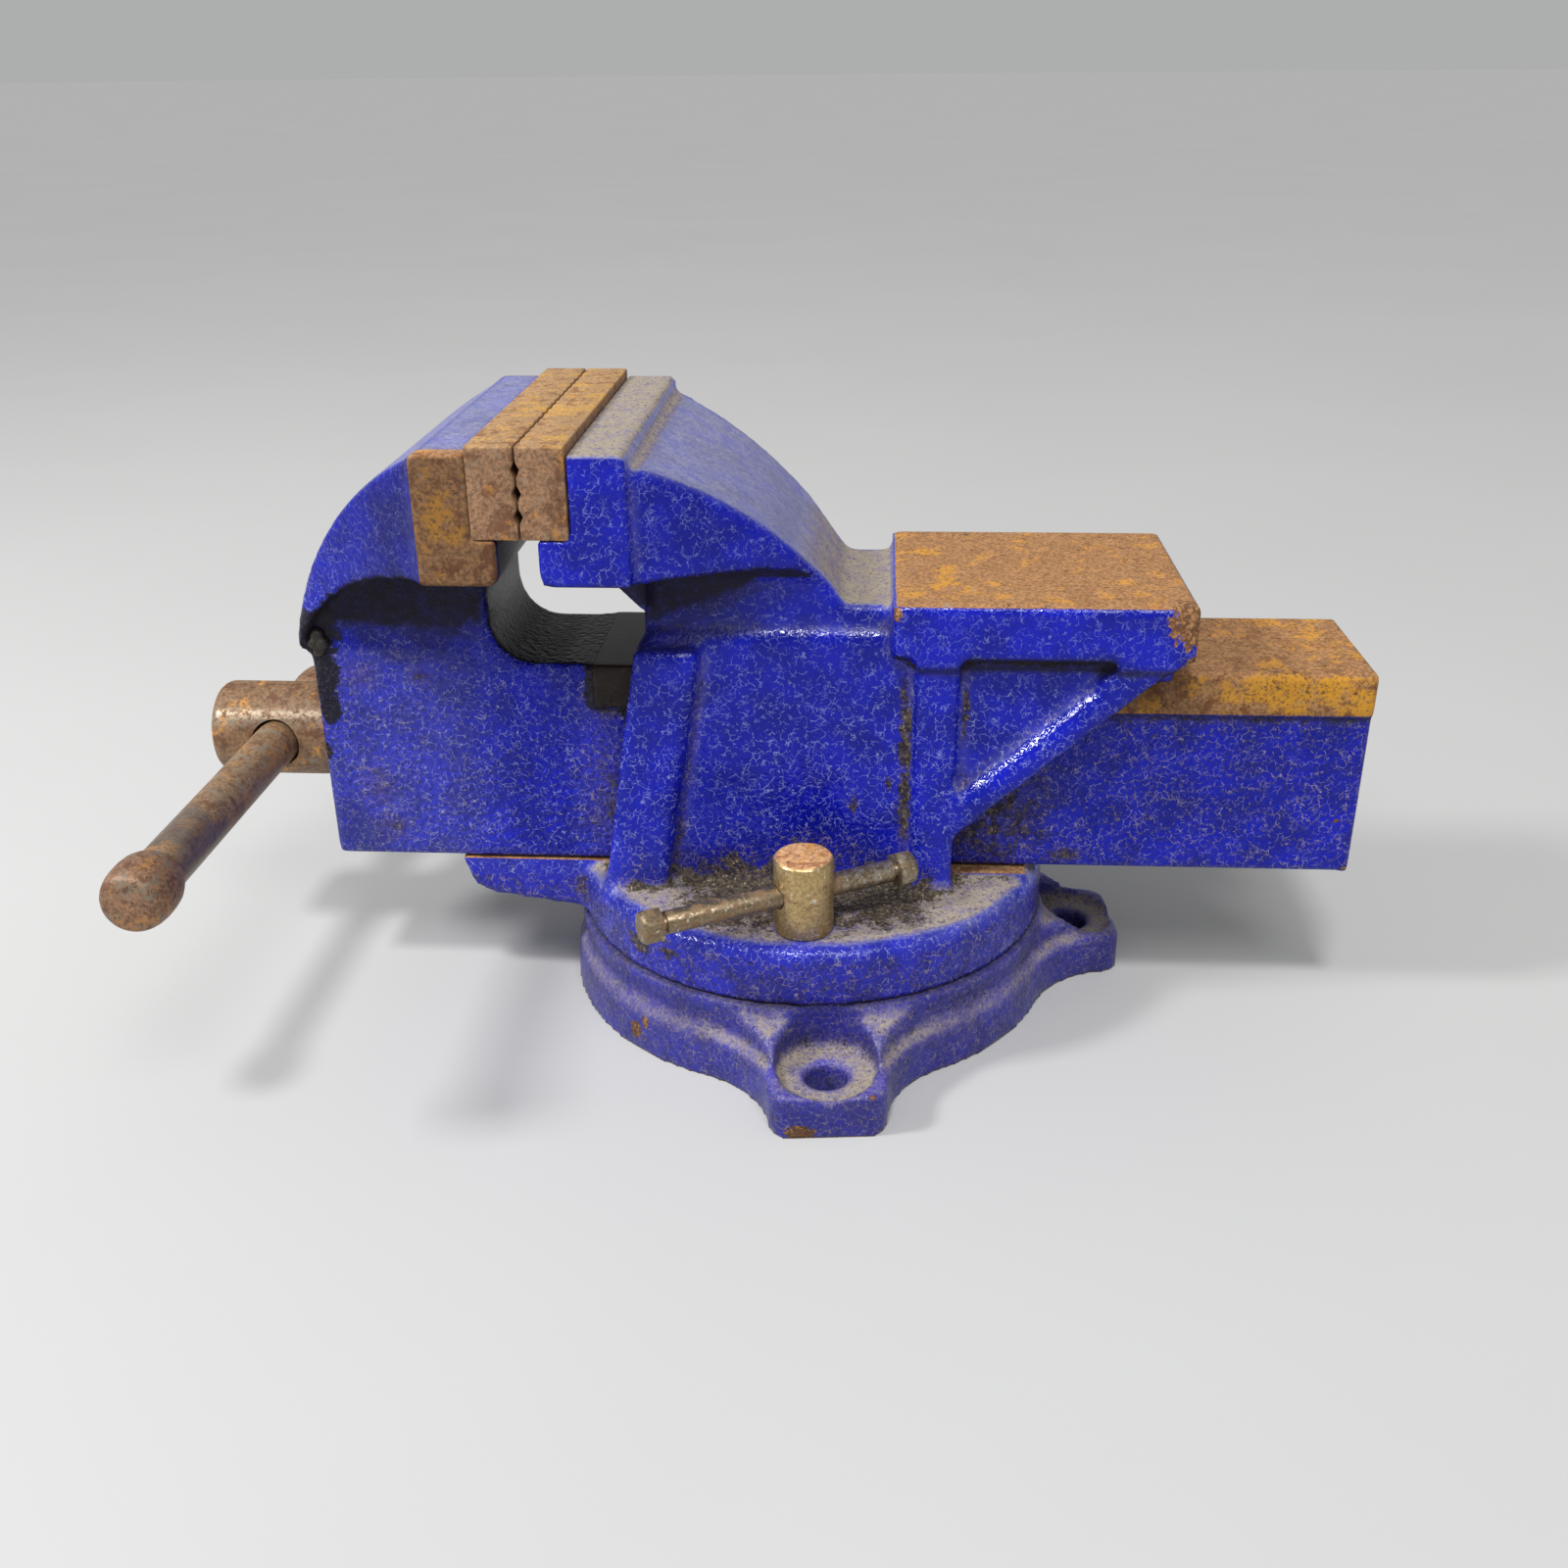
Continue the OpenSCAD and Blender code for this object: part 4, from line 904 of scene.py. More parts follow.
store(moving, chip=chips, peel=0.15 + 0.75 * ramp(106 - z, 0, 6), calm=0.6 * rails * facing_up,
      warm=share(0.6 * rails * near_side + 0.4 * rails * ramp(x, 110, 130)
                 + 0.5 * marks(places, [(-86, -51, 150, 15, 1.0)])),
      # The dark layer: painted shade with some grime where the high sky is shut off, under the head's wings,
      # on the rails' near sides under the anvil and under the rails' foot.
      grime=np.maximum(0.97 * ramp(shut, 0.30, 0.78) * ramp(z, 60, 80), 0.5 * shade_under_head_sides)
      + 0.45 * rails * ramp(112 - x, 0, 14) * near_side + 0.8 * rail_shade,
      dust=share(0.46 * facing_up * ramp(z, 103, 112) * (1 - 0.9 * edge) + 0.10 * hollow
                 + 0.07 * ramp(-80 - x, 0, 20) * (z < 104) + 0.10 * stains),
      soil=0.26 * stains + 0.22 * hollow + 0.14 * ramp(114 - z, 0, 8) + 0.12 * ramp(x, 30, 40),
      grease=share(1.25 * smears + 0.92 * np.maximum(throat, entry) + 0.34 * under + 0.12 * grease_and_shade_under_head
                   + 0.5 * cavity),
      bare=share(rails + block_end + block_top + cavity + slide_end))
finish_casting(moving, "moving_jaw")
print("points on the rails:", int((rails > 0.5).sum()))

# %% [markdown]
# Screws, bars, knobs and holes are all round, so they are turned, as on a lathe: a point is drawn out
# into half a profile, and the profile is spun round the X axis. The seam and the poles are then merged.

# %% Helpers for turned pieces


def start_point(name, place):
    """A new mesh that is a single point, in edit mode, ready to be extruded."""
    deselect_all()
    bpy.ops.mesh.primitive_plane_add(size=1 * MM, location=(0, 0, 0))
    piece = bpy.context.object
    piece.name = name
    bpy.ops.object.mode_set(mode="EDIT")
    bpy.ops.mesh.select_mode(type="VERT")
    bpy.ops.mesh.select_all(action="SELECT")
    bpy.ops.mesh.merge(type="CENTER")
    bpy.ops.transform.translate(value=place)
    return piece


def draw_out(profile):
    """Extrudes the selected point along a profile of places."""
    for first, second in zip(profile, profile[1:]):
        bpy.ops.mesh.extrude_region_move(TRANSFORM_OT_translate={"value": second - first})


def turned(name, profile, steps=64):
    """A solid of revolution about X. The profile is a list of (place along X, radius), in mm."""
    line = [Vector((along * MM, radius * MM, 0)) for along, radius in profile]
    piece = start_point(name, line[0])
    draw_out(line)
    bpy.ops.mesh.select_all(action="SELECT")
    bpy.ops.mesh.spin(steps=steps, angle=2 * math.pi, center=(0, 0, 0), axis=(1, 0, 0))
    bpy.ops.mesh.select_all(action="SELECT")
    bpy.ops.mesh.remove_doubles(threshold=MERGE)
    bpy.ops.mesh.normals_make_consistent(inside=False)
    leave()
    return piece


print("helpers for turned pieces ready")

# %% [markdown]
# A finished piece is shaded smooth, except at its edges. It is then turned with the upper vise, gets its
# finish, rides on the body that its CAD node belongs to, and takes that node's place.

# %% Helpers for finished pieces


def smooth(piece, degrees=35):
    activate(piece)
    bpy.ops.object.shade_smooth_by_angle(angle=math.radians(degrees))


def settle(piece, node, slot, *finishes):
    """Turns a finished piece with the upper vise and puts it in place of its CAD node."""
    turn_mesh(piece, TURN)
    for finish in finishes:
        piece.data.materials.append(finish)
    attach(piece, body_of[node])
    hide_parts(node)
    print(piece.name, "faces:", len(piece.data.polygons), "on", body_of[node])


print("nodes with a body:", len(body_of))

# %% [markdown]
# The jaw plates are hardened bars with cross-cut teeth. Each tooth could be cut on its own, but a grid
# with three faces each way for each tooth is quicker: pushing back the lines between the teeth leaves
# rows of pads with grooves between them.

# %% Teeth of the jaw plates
PLATE = Vector((11.6, 101.6, 22.5)) * MM
TOOTH_DEPTH, UPRIGHT_DEPTH = 0.9 * MM, 0.315 * MM
TEETH_ALONG, TEETH_UP, STEPS_PER_TOOTH = 18, 4, 3


def push_points(piece, chosen, step):
    edit(piece)
    bpy.ops.mesh.select_mode(type="VERT")
    bpy.ops.mesh.select_all(action="DESELECT")
    leave()
    piece.data.vertices.foreach_set("select", chosen)
    bpy.ops.object.mode_set(mode="EDIT")
    bpy.ops.transform.translate(value=step)
    leave()


def toothed_face(name):
    """A grid in the plane x = 0, with its foot at z = 0 and the lines between the teeth pushed back."""
    deselect_all()
    rows, columns = STEPS_PER_TOOTH * TEETH_UP, STEPS_PER_TOOTH * TEETH_ALONG
    bpy.ops.mesh.primitive_grid_add(x_subdivisions=rows, y_subdivisions=columns, size=1, location=(0, 0, 0))
    piece = bpy.context.object
    piece.name = name
    stand_up = Matrix.Translation((0, 0, PLATE.z / 2)) @ Matrix.Rotation(math.radians(-90), 4, "Y")
    piece.data.transform(stand_up @ Matrix.Diagonal((PLATE.z, PLATE.y, 1, 1)))
    edit(piece)
    bpy.ops.transform.resize(value=(0, 1, 1), center_override=(0, 0, 0))
    leave()
    places, _ = points_of(piece)
    row = np.rint(places[:, 2] * MM / PLATE.z * rows)
    column = np.rint((places[:, 1] * MM / PLATE.y + 0.5) * columns)
    grooves, uprights = ((line > 0) & (line < last) & (line % STEPS_PER_TOOTH == 0)
                         for line, last in ((row, rows), (column, columns)))
    push_points(piece, grooves, (TOOTH_DEPTH, 0, 0))
    push_points(piece, uprights & ~grooves, (UPRIGHT_DEPTH, 0, 0))
    return piece


print("teeth on a plate:", TEETH_ALONG * TEETH_UP)

# %% [markdown]
# The border of the toothed face is drawn back to make the bar. The two countersunk screw holes are cut
# with a turned cutter. Only the outer edges of the bar get a small bevel, so they are told apart by
# their place: both ends of such an edge lie on two outer sides.

# %% Shape of the jaw plates
SCREW_APART, SCREW_UP, SCREW_R, SCREW_HEAD_R = 30, 11.25, 3.05, 6.05
HOLE_FRONT, SINK_TOP, SINK_FOOT, HOLE_BACK = -2, 2.4, 5.4, 14
TOUCH = 1e-5


def bevel_outer_edges(piece):
    weights = piece.data.attributes.new("bevel_weight_edge", "FLOAT", "EDGE").data
    for number, rim in enumerate(piece.data.edges):
        ends = [piece.data.vertices[i].co for i in rim.vertices]
        outer = [sum((abs(abs(e.y) - PLATE.y / 2) < TOUCH, e.z < TOUCH or e.z > PLATE.z - TOUCH,
                      e.x > PLATE.x - TOUCH or e.x < TOOTH_DEPTH + TOUCH)) >= 2 for e in ends]
        weights[number].value = 1.0 if all(outer) else 0.0
    apply_modifier(piece, "BEVEL", width=0.5 * MM, segments=2, limit_method="WEIGHT")


def jaw_plate(name):
    """A toothed plate with its face at x = 0, its back at +X and its foot at z = 0."""
    piece = toothed_face(name)
    edit(piece)
    bpy.ops.mesh.select_mode(type="EDGE")
    bpy.ops.mesh.select_all(action="DESELECT")
    bpy.ops.mesh.select_non_manifold()
    bpy.ops.mesh.extrude_edges_move(TRANSFORM_OT_translate={"value": (PLATE.x, 0, 0)})
    bpy.ops.transform.resize(value=(0, 1, 1), center_override=(PLATE.x, 0, 0))
    bpy.ops.mesh.edge_face_add()
    bpy.ops.mesh.select_all(action="SELECT")
    bpy.ops.mesh.normals_make_consistent(inside=False)
    leave()
    for side in (-1, 1):
        cutter = turned("screw hole", [
            (HOLE_FRONT, 0), (HOLE_FRONT, SCREW_HEAD_R), (SINK_TOP, SCREW_HEAD_R), (SINK_FOOT, SCREW_R),
            (HOLE_BACK, SCREW_R), (HOLE_BACK, 0)], steps=40)
        move_mesh(cutter, 0, side * SCREW_APART, SCREW_UP)
        cut(piece, cutter)
    bevel_outer_edges(piece)
    smooth(piece, 25)
    return piece


print("plate size, mm:", [round(side / MM, 1) for side in PLATE])

# %% [markdown]
# The two plates are alike, each with its own mesh, and face each other across a narrow gap. They are
# rusted brown. Their tops are rubbed paler, with streaks along the jaw, because work is laid on them.

# %% Jaw plates
PLATE_FOOT, FIXED_FACE, MOVING_FACE = 142.3, -67.2, -67.6


def plate_finish():
    f = Finish("rusted jaw plate")
    tone, height = rust(f, brown=(0.285, 0.155, 0.082), orange=(0.47, 0.21, 0.05),
                        grey=(0.29, 0.20, 0.125), bloom=0.54, worn=0.57)
    bright, _ = rust(f, brown=(0.43, 0.25, 0.115), orange=(0.58, 0.32, 0.075), pits=0.66, bloom=0.5)
    drag = f.noise(4 * MM, 4, where=f.stretch(-TURN, (1.0, 0.25, 1.0)))
    bright = f.colour(f.both(f.fade(drag, 0.5, 0.66), 0.6), bright, (0.36, 0.215, 0.11))
    top = f.fade(f.axis("Z"), 164.1 * MM, 164.6 * MM)
    return f.done(Base_Color=f.colour(top, tone, bright), Roughness=0.72, Metallic=0.15,
                  Normal=f.relief(height, 0.10 * MM))


plate_rust = plate_finish()
for name, node, turn, face in (("fixed_plate", "fixed_jaw_plate", 0, FIXED_FACE),
                               ("moving_plate", "moving_jaw_plate", math.pi, MOVING_FACE)):
    plate = jaw_plate(name)
    turn_mesh(plate, turn)
    move_mesh(plate, face, 0, PLATE_FOOT)
    settle(plate, node, "jaw_plate", plate_rust)

# %% [markdown]
# The spindle has two finishes. Its head is rusted and rubbed bright where hands and the handle pass over
# it, and the bright band along its upper side is partly a painted highlight. The screw behind the head is
# bare steel under a film of old grease.

# %% Spindle finishes
BRIGHT_STEEL = (0.36, 0.29, 0.21)
OLD_FILM, FILM_WORN = (0.035, 0.028, 0.020), (0.20, 0.175, 0.14)


def spindle_finish():
    f = Finish("rusted spindle head")
    tone, height = rust(f, brown=(0.22, 0.122, 0.060), grey=(0.25, 0.19, 0.13), bloom=0.54, worn=0.57)
    up = f.axis("Z")
    # A band along the head's upper side: partly rubbed steel, partly a painted highlight.
    rubbed_band_and_highlight = f.both(f.fade(up, 75.5 * MM, 78.5 * MM), f.fade(up, 80 * MM, 82 * MM, 1, 0))
    lower = f.fade(up, 74 * MM, 66 * MM, 0.0, 0.35)
    rubbed = f.both(f.most(rubbed_band_and_highlight, lower), f.fade(f.noise(1.5 * MM, 4, 0.7), 0.40, 0.56))
    return f.done(Base_Color=f.colour(f.both(rubbed, 0.8), tone, BRIGHT_STEEL),
                  Metallic=f.number(rubbed, 0.1, 0.6), Roughness=f.number(rubbed, 0.72, 0.36),
                  Normal=f.relief(height, 0.09 * MM))


def greased_steel():
    f = Finish("greased screw steel")
    smear = f.noise(6 * MM, 5, 0.65)
    return f.done(Base_Color=f.colour(f.fade(smear, 0.40, 0.62), OLD_FILM, FILM_WORN), Metallic=0.75,
                  Roughness=f.fade(smear, 0.3, 0.7, 0.30, 0.55),
                  Normal=f.relief(f.noise(0.8 * MM, 3), 0.04 * MM))


spindle_finishes = [spindle_finish(), greased_steel()]
print("spindle finishes:", [m.name for m in spindle_finishes])

# %% [markdown]
# The spindle is turned from one bar. Its head carries the handle in a cross hole, and behind a plain
# neck it has a screw thread. The head and the neck are turned from a profile whose outer end is
# rounded, and the cross hole is cut with a turned cutter.

# %% Spindle head
HEAD_FACE, HEAD_END, HEAD_ROUNDING = -133.9, -169.5, 3.2
HEAD_R, NECK_R, THREAD_START = 13.3, 9.0, -92.0
HANDLE_X, CROSS_HOLE_R, CROSS_HOLE_HALF = -150.7, 6.9, 20

rounding = [(HEAD_END + HEAD_ROUNDING * (1 - math.sin(a)), HEAD_R - HEAD_ROUNDING * (1 - math.cos(a)))
            for a in (math.radians(d) for d in (90, 72, 54, 36, 18, 0))]
head = turned("spindle_screw", [(HEAD_END, 0), (HEAD_END, 5)] + rounding +
              [(HEAD_FACE - 0.5, HEAD_R), (HEAD_FACE, HEAD_R - 0.5), (HEAD_FACE, NECK_R),
               (THREAD_START, NECK_R), (THREAD_START, 0)], 96)
cross_hole = turned("cross hole", [(-CROSS_HOLE_HALF, 0), (-CROSS_HOLE_HALF, CROSS_HOLE_R),
                                   (CROSS_HOLE_HALF, CROSS_HOLE_R), (CROSS_HOLE_HALF, 0)])
turn_mesh(cross_hole, math.radians(90))
move_mesh(cross_hole, HANDLE_X)
cut(head, cross_hole)
apply_modifier(head, "BEVEL", width=0.4 * MM, segments=2, limit_method="ANGLE", angle_limit=math.radians(50))
print("spindle head faces:", len(head.data.polygons))

# %% [markdown]
# The thread has a lead of 5 mm, which is how far the jaw moves with each turn. One tooth is drawn as a
# profile and swept by a Screw modifier, then both ends are cut flat. Thread and head are joined, because
# they are one bar. The bar is turned by half a degree, since its handle isn't quite level.

# %% Spindle thread
SPINDLE_Z = 71.8
LEAN = math.radians(-0.5)
THREAD_END, LEAD = 126.6, 5.0
THREAD_ROOT, THREAD_CREST = 7.3, 8.95
FLANK_FROM, CREST_FROM, CREST_TO = 1.3, 2.1, 4.2

tooth = [Vector((along, radius, 0)) * MM for along, radius in (
    (0, THREAD_ROOT), (FLANK_FROM, THREAD_ROOT), (CREST_FROM, THREAD_CREST), (CREST_TO, THREAD_CREST),
    (LEAD, THREAD_ROOT))]
thread = start_point("thread", tooth[0])
draw_out(tooth)
leave()
turns = math.ceil((THREAD_END - THREAD_START) / LEAD) + 3
apply_modifier(thread, "SCREW", axis="X", angle=2 * math.pi, screw_offset=LEAD * MM, iterations=turns,
               steps=40, render_steps=40, use_merge_vertices=True, use_smooth_shade=False)
move_mesh(thread, THREAD_START - 1.5 * LEAD)
for place, clear_inner in ((THREAD_START + 0.02, True), (THREAD_END, False)):
    edit(thread)
    bpy.ops.mesh.bisect(plane_co=(place * MM, 0, 0), plane_no=(1, 0, 0), use_fill=True,
                        clear_inner=clear_inner, clear_outer=not clear_inner)
    leave()
edit(thread)
bpy.ops.mesh.normals_make_consistent(inside=False)
leave()
for piece in (head, thread):
    for finish in spindle_finishes:
        piece.data.materials.append(finish)
    for polygon in piece.data.polygons:
        polygon.material_index = 0 if polygon.center.x < HEAD_FACE * MM else 1
activate(head)
thread.select_set(True)
bpy.ops.object.join()
smooth(head, 30)
move_mesh(head, z=SPINDLE_Z)
turn_mesh(head, LEAN, "X", (0, 0, SPINDLE_Z * MM))
settle(head, "spindle", "worn_steel")

# %% [markdown]
# The handle's bar is worn by hands: brown rust, grey rubbed places, a dark bluish patch near the knob
# and fine rings from the lathe. Noise that is squeezed along the bar gives the rings. The knobs are
# rusted more evenly, with small pits.

# %% Handle finishes
BLUISH_STEEL, RUBBED_STEEL = (0.13, 0.12, 0.125), (0.36, 0.31, 0.24)


def handle_finish():
    f = Finish("worn handle steel")
    lathe = f.noise(1.2 * MM, 3, where=f.stretch(-TURN, (0.12, 3.0, 0.12)))
    tone, height = rust(f, brown=(0.30, 0.175, 0.088), orange=(0.44, 0.215, 0.065),
                        grey=(0.27, 0.215, 0.15), bloom=0.54, worn=0.52)
    along = f.axis("Y", f.stretch(-TURN, (1, 1, 1)))
    rough_edge = f.total(along, f.both(f.noise(7 * MM, 3), 30 * MM))
    dark = f.both(f.fade(rough_edge, -76 * MM, -70 * MM), f.fade(rough_edge, -55 * MM, -46 * MM, 1, 0))
    colour = f.colour(f.both(dark, 0.5), tone, BLUISH_STEEL)
    colour = f.colour(f.both(f.fade(lathe, 0.46, 0.66), 0.30), colour, RUBBED_STEEL)
    height = f.total(height, f.both(lathe, 0.9))
    return f.done(Base_Color=colour, Metallic=f.number(dark, 0.3, 0.5),
                  Roughness=f.number(dark, 0.46, 0.36), Normal=f.relief(height, 0.06 * MM))


def knob_finish():
    f = Finish("rusted knob")
    tone, height = rust(f, brown=(0.25, 0.135, 0.075), orange=(0.40, 0.19, 0.06),
                        grey=(0.20, 0.165, 0.12), bloom=0.54, worn=0.52, pits=0.55)
    return f.done(Base_Color=tone, Metallic=0.2, Roughness=0.52, Normal=f.relief(height, 0.08 * MM))


handle_steel, knob_rust = handle_finish(), knob_finish()
print("handle finishes:", handle_steel.name, "and", knob_rust.name)

# %% [markdown]
# The handle is a plain bar with a turned knob pressed on each end. It has been pushed through the
# spindle's head towards the near side. The knobs are barrel shaped, with a low dome on the end and a
# soft rim round it.

# %% Handle
HANDLE_SHIFT, HANDLE_HALF, HANDLE_R, HANDLE_CHAMFER = 36.5, 71.5, 6.1, 0.6
KNOB_LENGTH, KNOB_BORE, KNOB_BORE_DEPTH = 16.0, 6.22, 8.1


def on_handle(piece, turn):
    turn_mesh(piece, turn)
    move_mesh(piece, HANDLE_X, -HANDLE_SHIFT, SPINDLE_Z)
    turn_mesh(piece, LEAN, "X", (0, 0, SPINDLE_Z * MM))


rod_end = HANDLE_HALF - KNOB_LENGTH / 2
chamfer = [(rod_end - HANDLE_CHAMFER, HANDLE_R), (rod_end, HANDLE_R - HANDLE_CHAMFER), (rod_end, 0)]
rod = turned("handle_rod", [(-along, radius) for along, radius in reversed(chamfer)]
             + [(along, HANDLE_R) for along in range(-60, 61, 10)] + chamfer)
smooth(rod)
on_handle(rod, math.radians(90))
settle(rod, "handle_bar", "worn_steel", handle_steel)

knob_line = [(KNOB_BORE_DEPTH, 0), (KNOB_BORE_DEPTH, KNOB_BORE), (0, KNOB_BORE), (0, 6.5), (0.6, 6.9),
             (1.8, 7.5), (3.6, 8.05), (6.2, 8.3), (9.0, 8.3), (11.2, 8.1), (12.8, 7.75), (14.0, 7.3),
             (14.8, 6.8), (15.3, 6.1), (15.55, 5.0), (15.8, 2.6), (KNOB_LENGTH, 0)]
for node, name, end in (("handle_knob_near", "knob_near_turned", -1),
                        ("handle_knob_far", "knob_far_turned", 1)):
    knob = turned(name, [(along + HANDLE_HALF - KNOB_LENGTH, radius) for along, radius in knob_line])
    smooth(knob, 40)
    on_handle(knob, end * math.radians(90))
    settle(knob, node, "worn_steel", knob_rust)

# %% [markdown]
# The swivel locks are plated a yellowish zinc colour, which is worn to grey on the bars and browned by
# rust on top and at the ends. The pieces inside the vise are oiled steel and plain cast iron. They
# show only when the jaw is open or the vise is taken apart, so a cloudy two-tone finish is enough.

# %% Zinc, oiled steel and iron
ZINC_BRIGHT, ZINC_RUBBED, ZINC_BROWNED = (0.66, 0.62, 0.52), (0.46, 0.42, 0.35), (0.20, 0.115, 0.055)


def zinc_finish(name, gold, rust_from, silver=0.0):
    f = Finish(name)
    cloud, fine = f.noise(3.5 * MM, 5, 0.65), f.noise(0.8 * MM, 4, 0.65)
    tone = f.colour(f.fade(fine, 0.35, 0.65), shade(gold, 0.62), gold)
    tone = f.colour(f.fade(f.noise(1.6 * MM, 4, 0.7), 0.58, 0.68), tone, ZINC_BRIGHT)
    kept = f.fade(f.axis("X"), 2 * MM, 10 * MM, 0.0, 0.16)
    browned = f.fade(f.rest(cloud, kept), rust_from, rust_from + 0.14)
    tone = f.colour(browned, tone, ZINC_BROWNED)
    top = f.fade(f.axis("Z"), 60.2 * MM, 60.7 * MM)
    rusty, height = rust(f, brown=(0.62, 0.34, 0.16), bloom=0.52, worn=0.70)
    tone = f.colour(top, tone, rusty)
    patches = f.fade(f.noise(2.2 * MM, 4, 0.7), 0.50, 0.60, 0.0, silver)
    rubbed = f.both(f.fade(f.axis("X"), 3 * MM, 8 * MM), patches)
    tone = f.colour(rubbed, tone, ZINC_RUBBED)
    soiled = f.both(f.most(browned, top), f.rest(1.0, rubbed))
    return f.done(Base_Color=tone, Metallic=f.number(soiled, 0.75, 0.1),
                  Roughness=f.number(soiled, 0.34, 0.72), Normal=f.relief(height, 0.06 * MM))


def cloudy_finish(name, light, dark, metallic, rough):
    f = Finish(name)
    cloud = f.noise(5 * MM, 5, 0.65)
    return f.done(Base_Color=f.colour(f.fade(cloud, 0.38, 0.62), dark, light), Metallic=metallic,
                  Roughness=f.fade(cloud, 0.3, 0.7, rough, rough + 0.2),
                  Normal=f.relief(f.noise(0.7 * MM, 4), 0.05 * MM))


lock_zinc = zinc_finish("worn yellow zinc", (0.56, 0.40, 0.18), 0.54)
bar_zinc = zinc_finish("worn zinc bar", (0.30, 0.225, 0.135), 0.47, 0.62)
oiled = cloudy_finish("oiled dark steel", (0.16, 0.15, 0.14), (0.045, 0.04, 0.036), 0.8, 0.32)
iron = cloudy_finish("brown cast iron", (0.17, 0.125, 0.085), (0.06, 0.045, 0.034), 0.35, 0.55)
print("finishes:", [m.name for m in (lock_zinc, bar_zinc, oiled, iron)])

# %% [markdown]
# Each swivel lock is a round-headed screw with a loose bar through it. The plate screws, the nuts, the
# bolt, the washer and the pin are just as plain. The CAD shapes of all of these are right, so they are
# copied, their flat faces are joined up again, and the edges get a small bevel.

# %% Swivel locks and hidden pieces
FLAT_ANGLE, EDGE_ANGLE = math.radians(0.6), math.radians(32)


def edged_copy(node, name, width):
    piece = copy_of(node, name)
    edit(piece)
    bpy.ops.mesh.dissolve_limited(angle_limit=FLAT_ANGLE)
    leave()
    apply_modifier(piece, "BEVEL", width=width * MM, segments=2, limit_method="ANGLE",
                   angle_limit=EDGE_ANGLE, harden_normals=False)
    smooth(piece, 30)
    turn_mesh(piece, -TURN)
    return piece


edged = [
    ("front_lock_screw", "front_lock_head", 0.35, lock_zinc, "zinc_steel"),
    ("rear_lock_screw", "rear_lock_head", 0.35, lock_zinc, "zinc_steel"),
    ("front_lock_bar", "front_lock_tommy", 0.25, bar_zinc, "zinc_steel"),
    ("rear_lock_bar", "rear_lock_tommy", 0.25, bar_zinc, "zinc_steel"),
    ("fixed_plate_screws", "fixed_plate_fasteners", 0.2, oiled, "dark_steel"),
    ("moving_plate_screws", "moving_plate_fasteners", 0.2, oiled, "dark_steel"),
    ("spindle_nut", "spindle_nut_block", 0.8, iron, "nut_iron"),
    ("nut_bolt", "nut_block_bolt", 0.4, oiled, "dark_steel"),
    ("front_clamp_nut", "front_clamp_block", 0.5, iron, "nut_iron"),
    ("rear_clamp_nut", "rear_clamp_block", 0.5, iron, "nut_iron"),
    ("spring_washer", "thrust_washer", 0.3, oiled, "dark_steel"),
    ("split_pin", "cross_pin", 0.4, oiled, "dark_steel"),
]
for node, name, width, finish, slot in edged:
    settle(edged_copy(node, name, width), node, slot, finish)

# %% [markdown]
# Behind the front wall a coil spring keeps the spindle pulled up to the moving jaw. It is a round
# wire swept along a screw line, so a circle and a Screw modifier make it. Its two cut ends are filled.

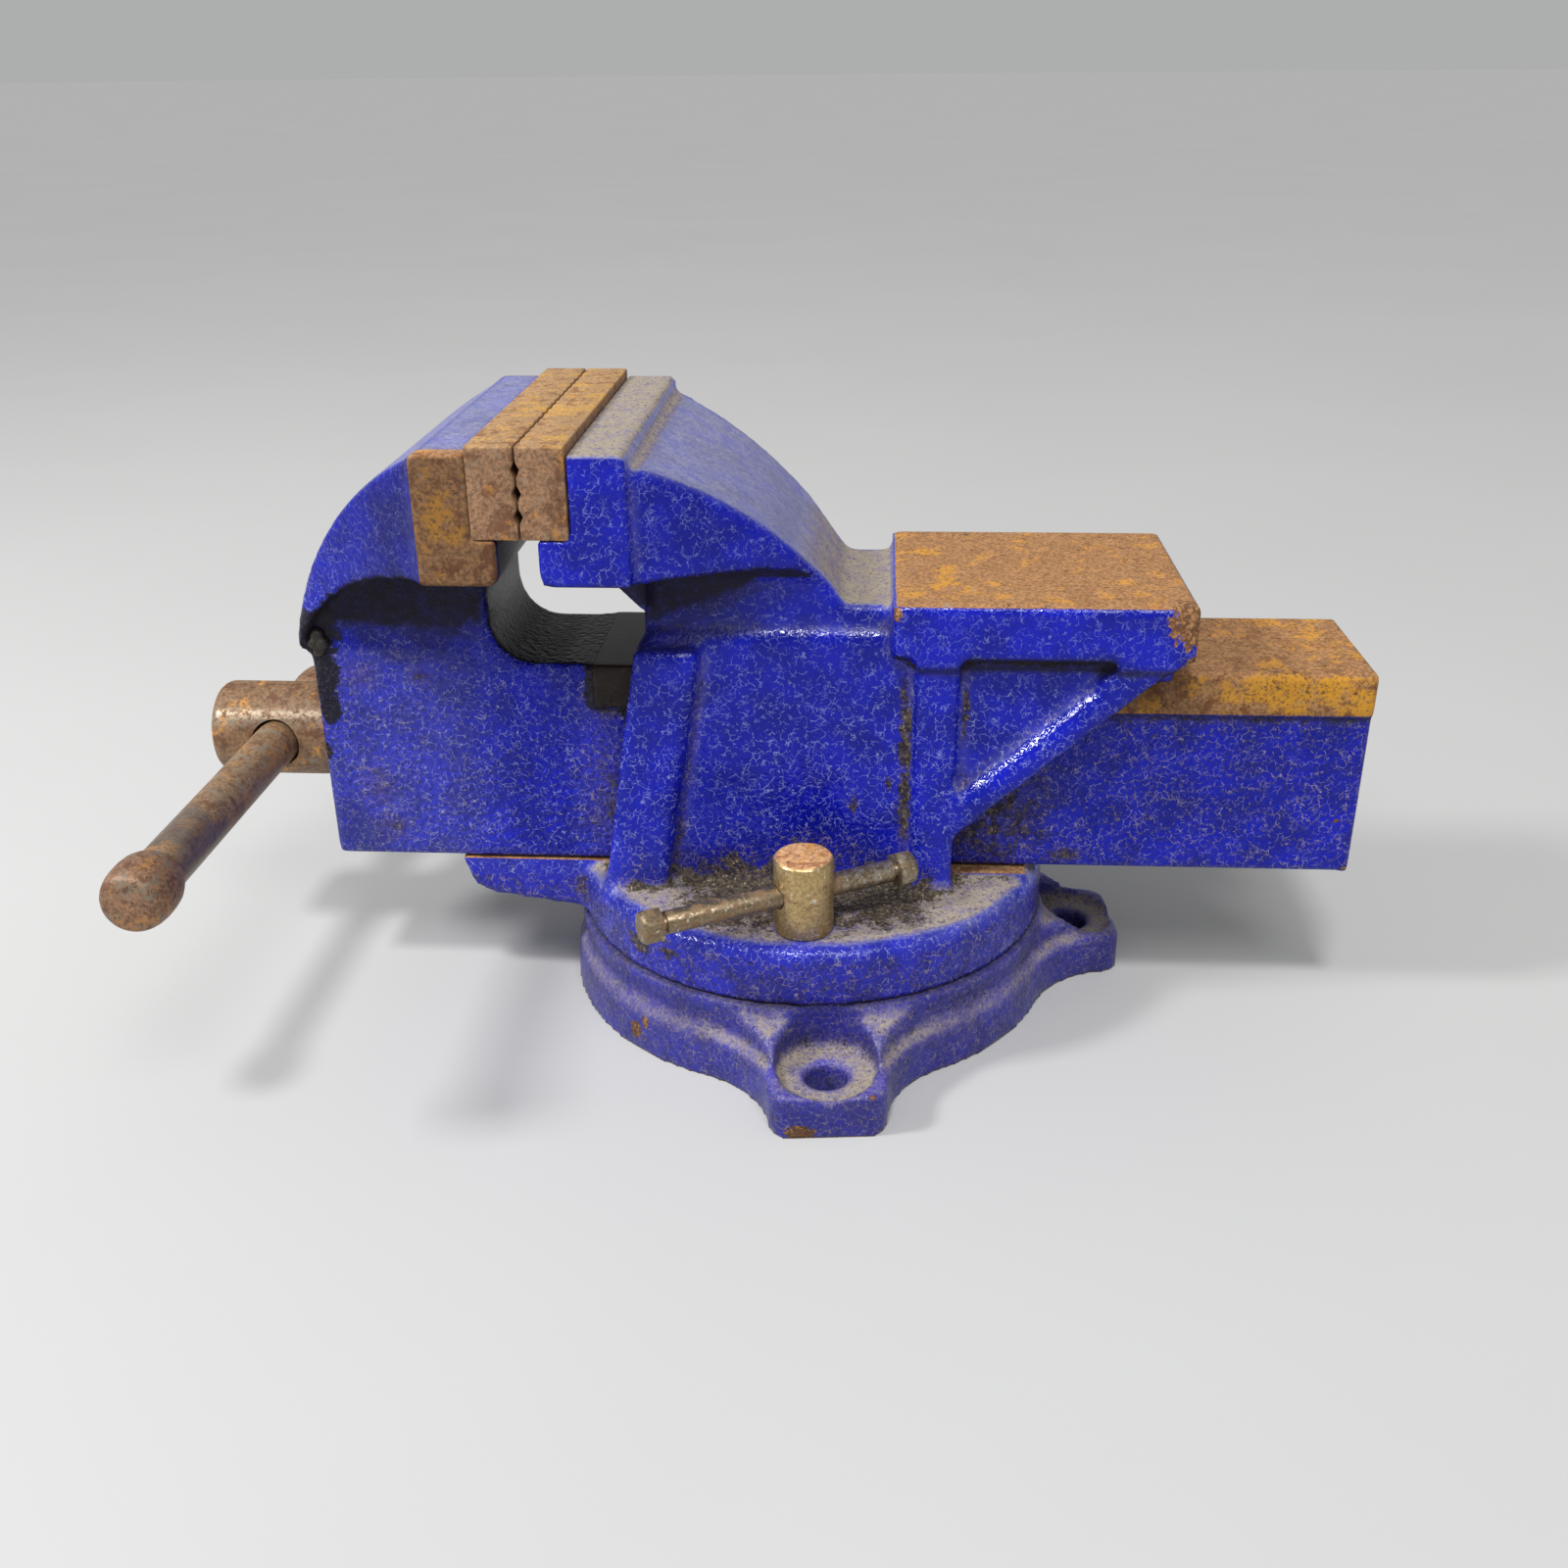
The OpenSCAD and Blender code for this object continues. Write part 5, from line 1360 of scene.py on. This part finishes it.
# %% Spring
SPRING_FROM, SPRING_R, WIRE, SPRING_TURNS, SPRING_STEP = -121.3, 13.7, 2.4, 4, 3.6
deselect_all()
bpy.ops.mesh.primitive_circle_add(vertices=16, radius=WIRE / 2 * MM, fill_type="NOTHING",
                                  location=(0, SPRING_R * MM, 0))
spring = bpy.context.object
spring.name = "spindle_coil"
bpy.ops.object.transform_apply(location=True, rotation=True, scale=True)
apply_modifier(spring, "SCREW", axis="X", angle=2 * math.pi, screw_offset=SPRING_STEP * MM,
               iterations=SPRING_TURNS, steps=48, render_steps=48, use_smooth_shade=True)
edit(spring)
bpy.ops.mesh.select_all(action="DESELECT")
bpy.ops.mesh.select_mode(type="EDGE")
bpy.ops.mesh.select_non_manifold()
bpy.ops.mesh.edge_face_add()
bpy.ops.mesh.select_all(action="SELECT")
bpy.ops.mesh.normals_make_consistent(inside=False)
leave()
move_mesh(spring, SPRING_FROM + WIRE / 2, 0, SPINDLE_Z)
smooth(spring)
settle(spring, "spindle_spring", "dark_steel", oiled)

# %% [markdown]
# Old grease has been squeezed out at the lower front edge of the moving jaw's head, where it hangs as
# a black lump. A few balls are joined by a remesh, which lets them flow together, and are smoothed.

# %% Grease lump
CLOT_BLACK, CLOT_BROWN = (0.008, 0.006, 0.005), (0.045, 0.032, 0.020)
balls = []
for place, reach in (((-131.6, -22.2, 106.0), 2.1), ((-130.6, -22.6, 108.4), 1.9),
                     ((-129.4, -22.4, 105.6), 2.0), ((-132.2, -19.4, 106.0), 1.8),
                     ((-131.6, -15.0, 106.2), 1.5), ((-130.9, -21.6, 102.8), 1.6)):
    deselect_all()
    bpy.ops.mesh.primitive_ico_sphere_add(subdivisions=3, radius=reach * MM, location=Vector(place) * MM)
    bpy.ops.object.transform_apply(location=True, rotation=True, scale=True)
    balls.append(bpy.context.object)
lump = balls[0]
activate(lump)
for ball in balls:
    ball.select_set(True)
bpy.ops.object.join()
lump.name = "old_grease"
apply_modifier(lump, "REMESH", mode="VOXEL", voxel_size=0.5 * MM, use_smooth_shade=True)
apply_modifier(lump, "SMOOTH", factor=0.5, iterations=6)
grease = Finish("old black grease")
clot = grease.noise(1.6 * MM, 5, 0.7)
lump.data.materials.append(grease.done(
    Base_Color=grease.colour(grease.fade(clot, 0.45, 0.7), CLOT_BLACK, CLOT_BROWN),
    Roughness=grease.fade(clot, 0.3, 0.7, 0.22, 0.5), Normal=grease.relief(clot, 0.5 * MM)))
turn_mesh(lump, TURN)
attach(lump, "sliding_jaw")
print("grease faces:", len(lump.data.polygons))
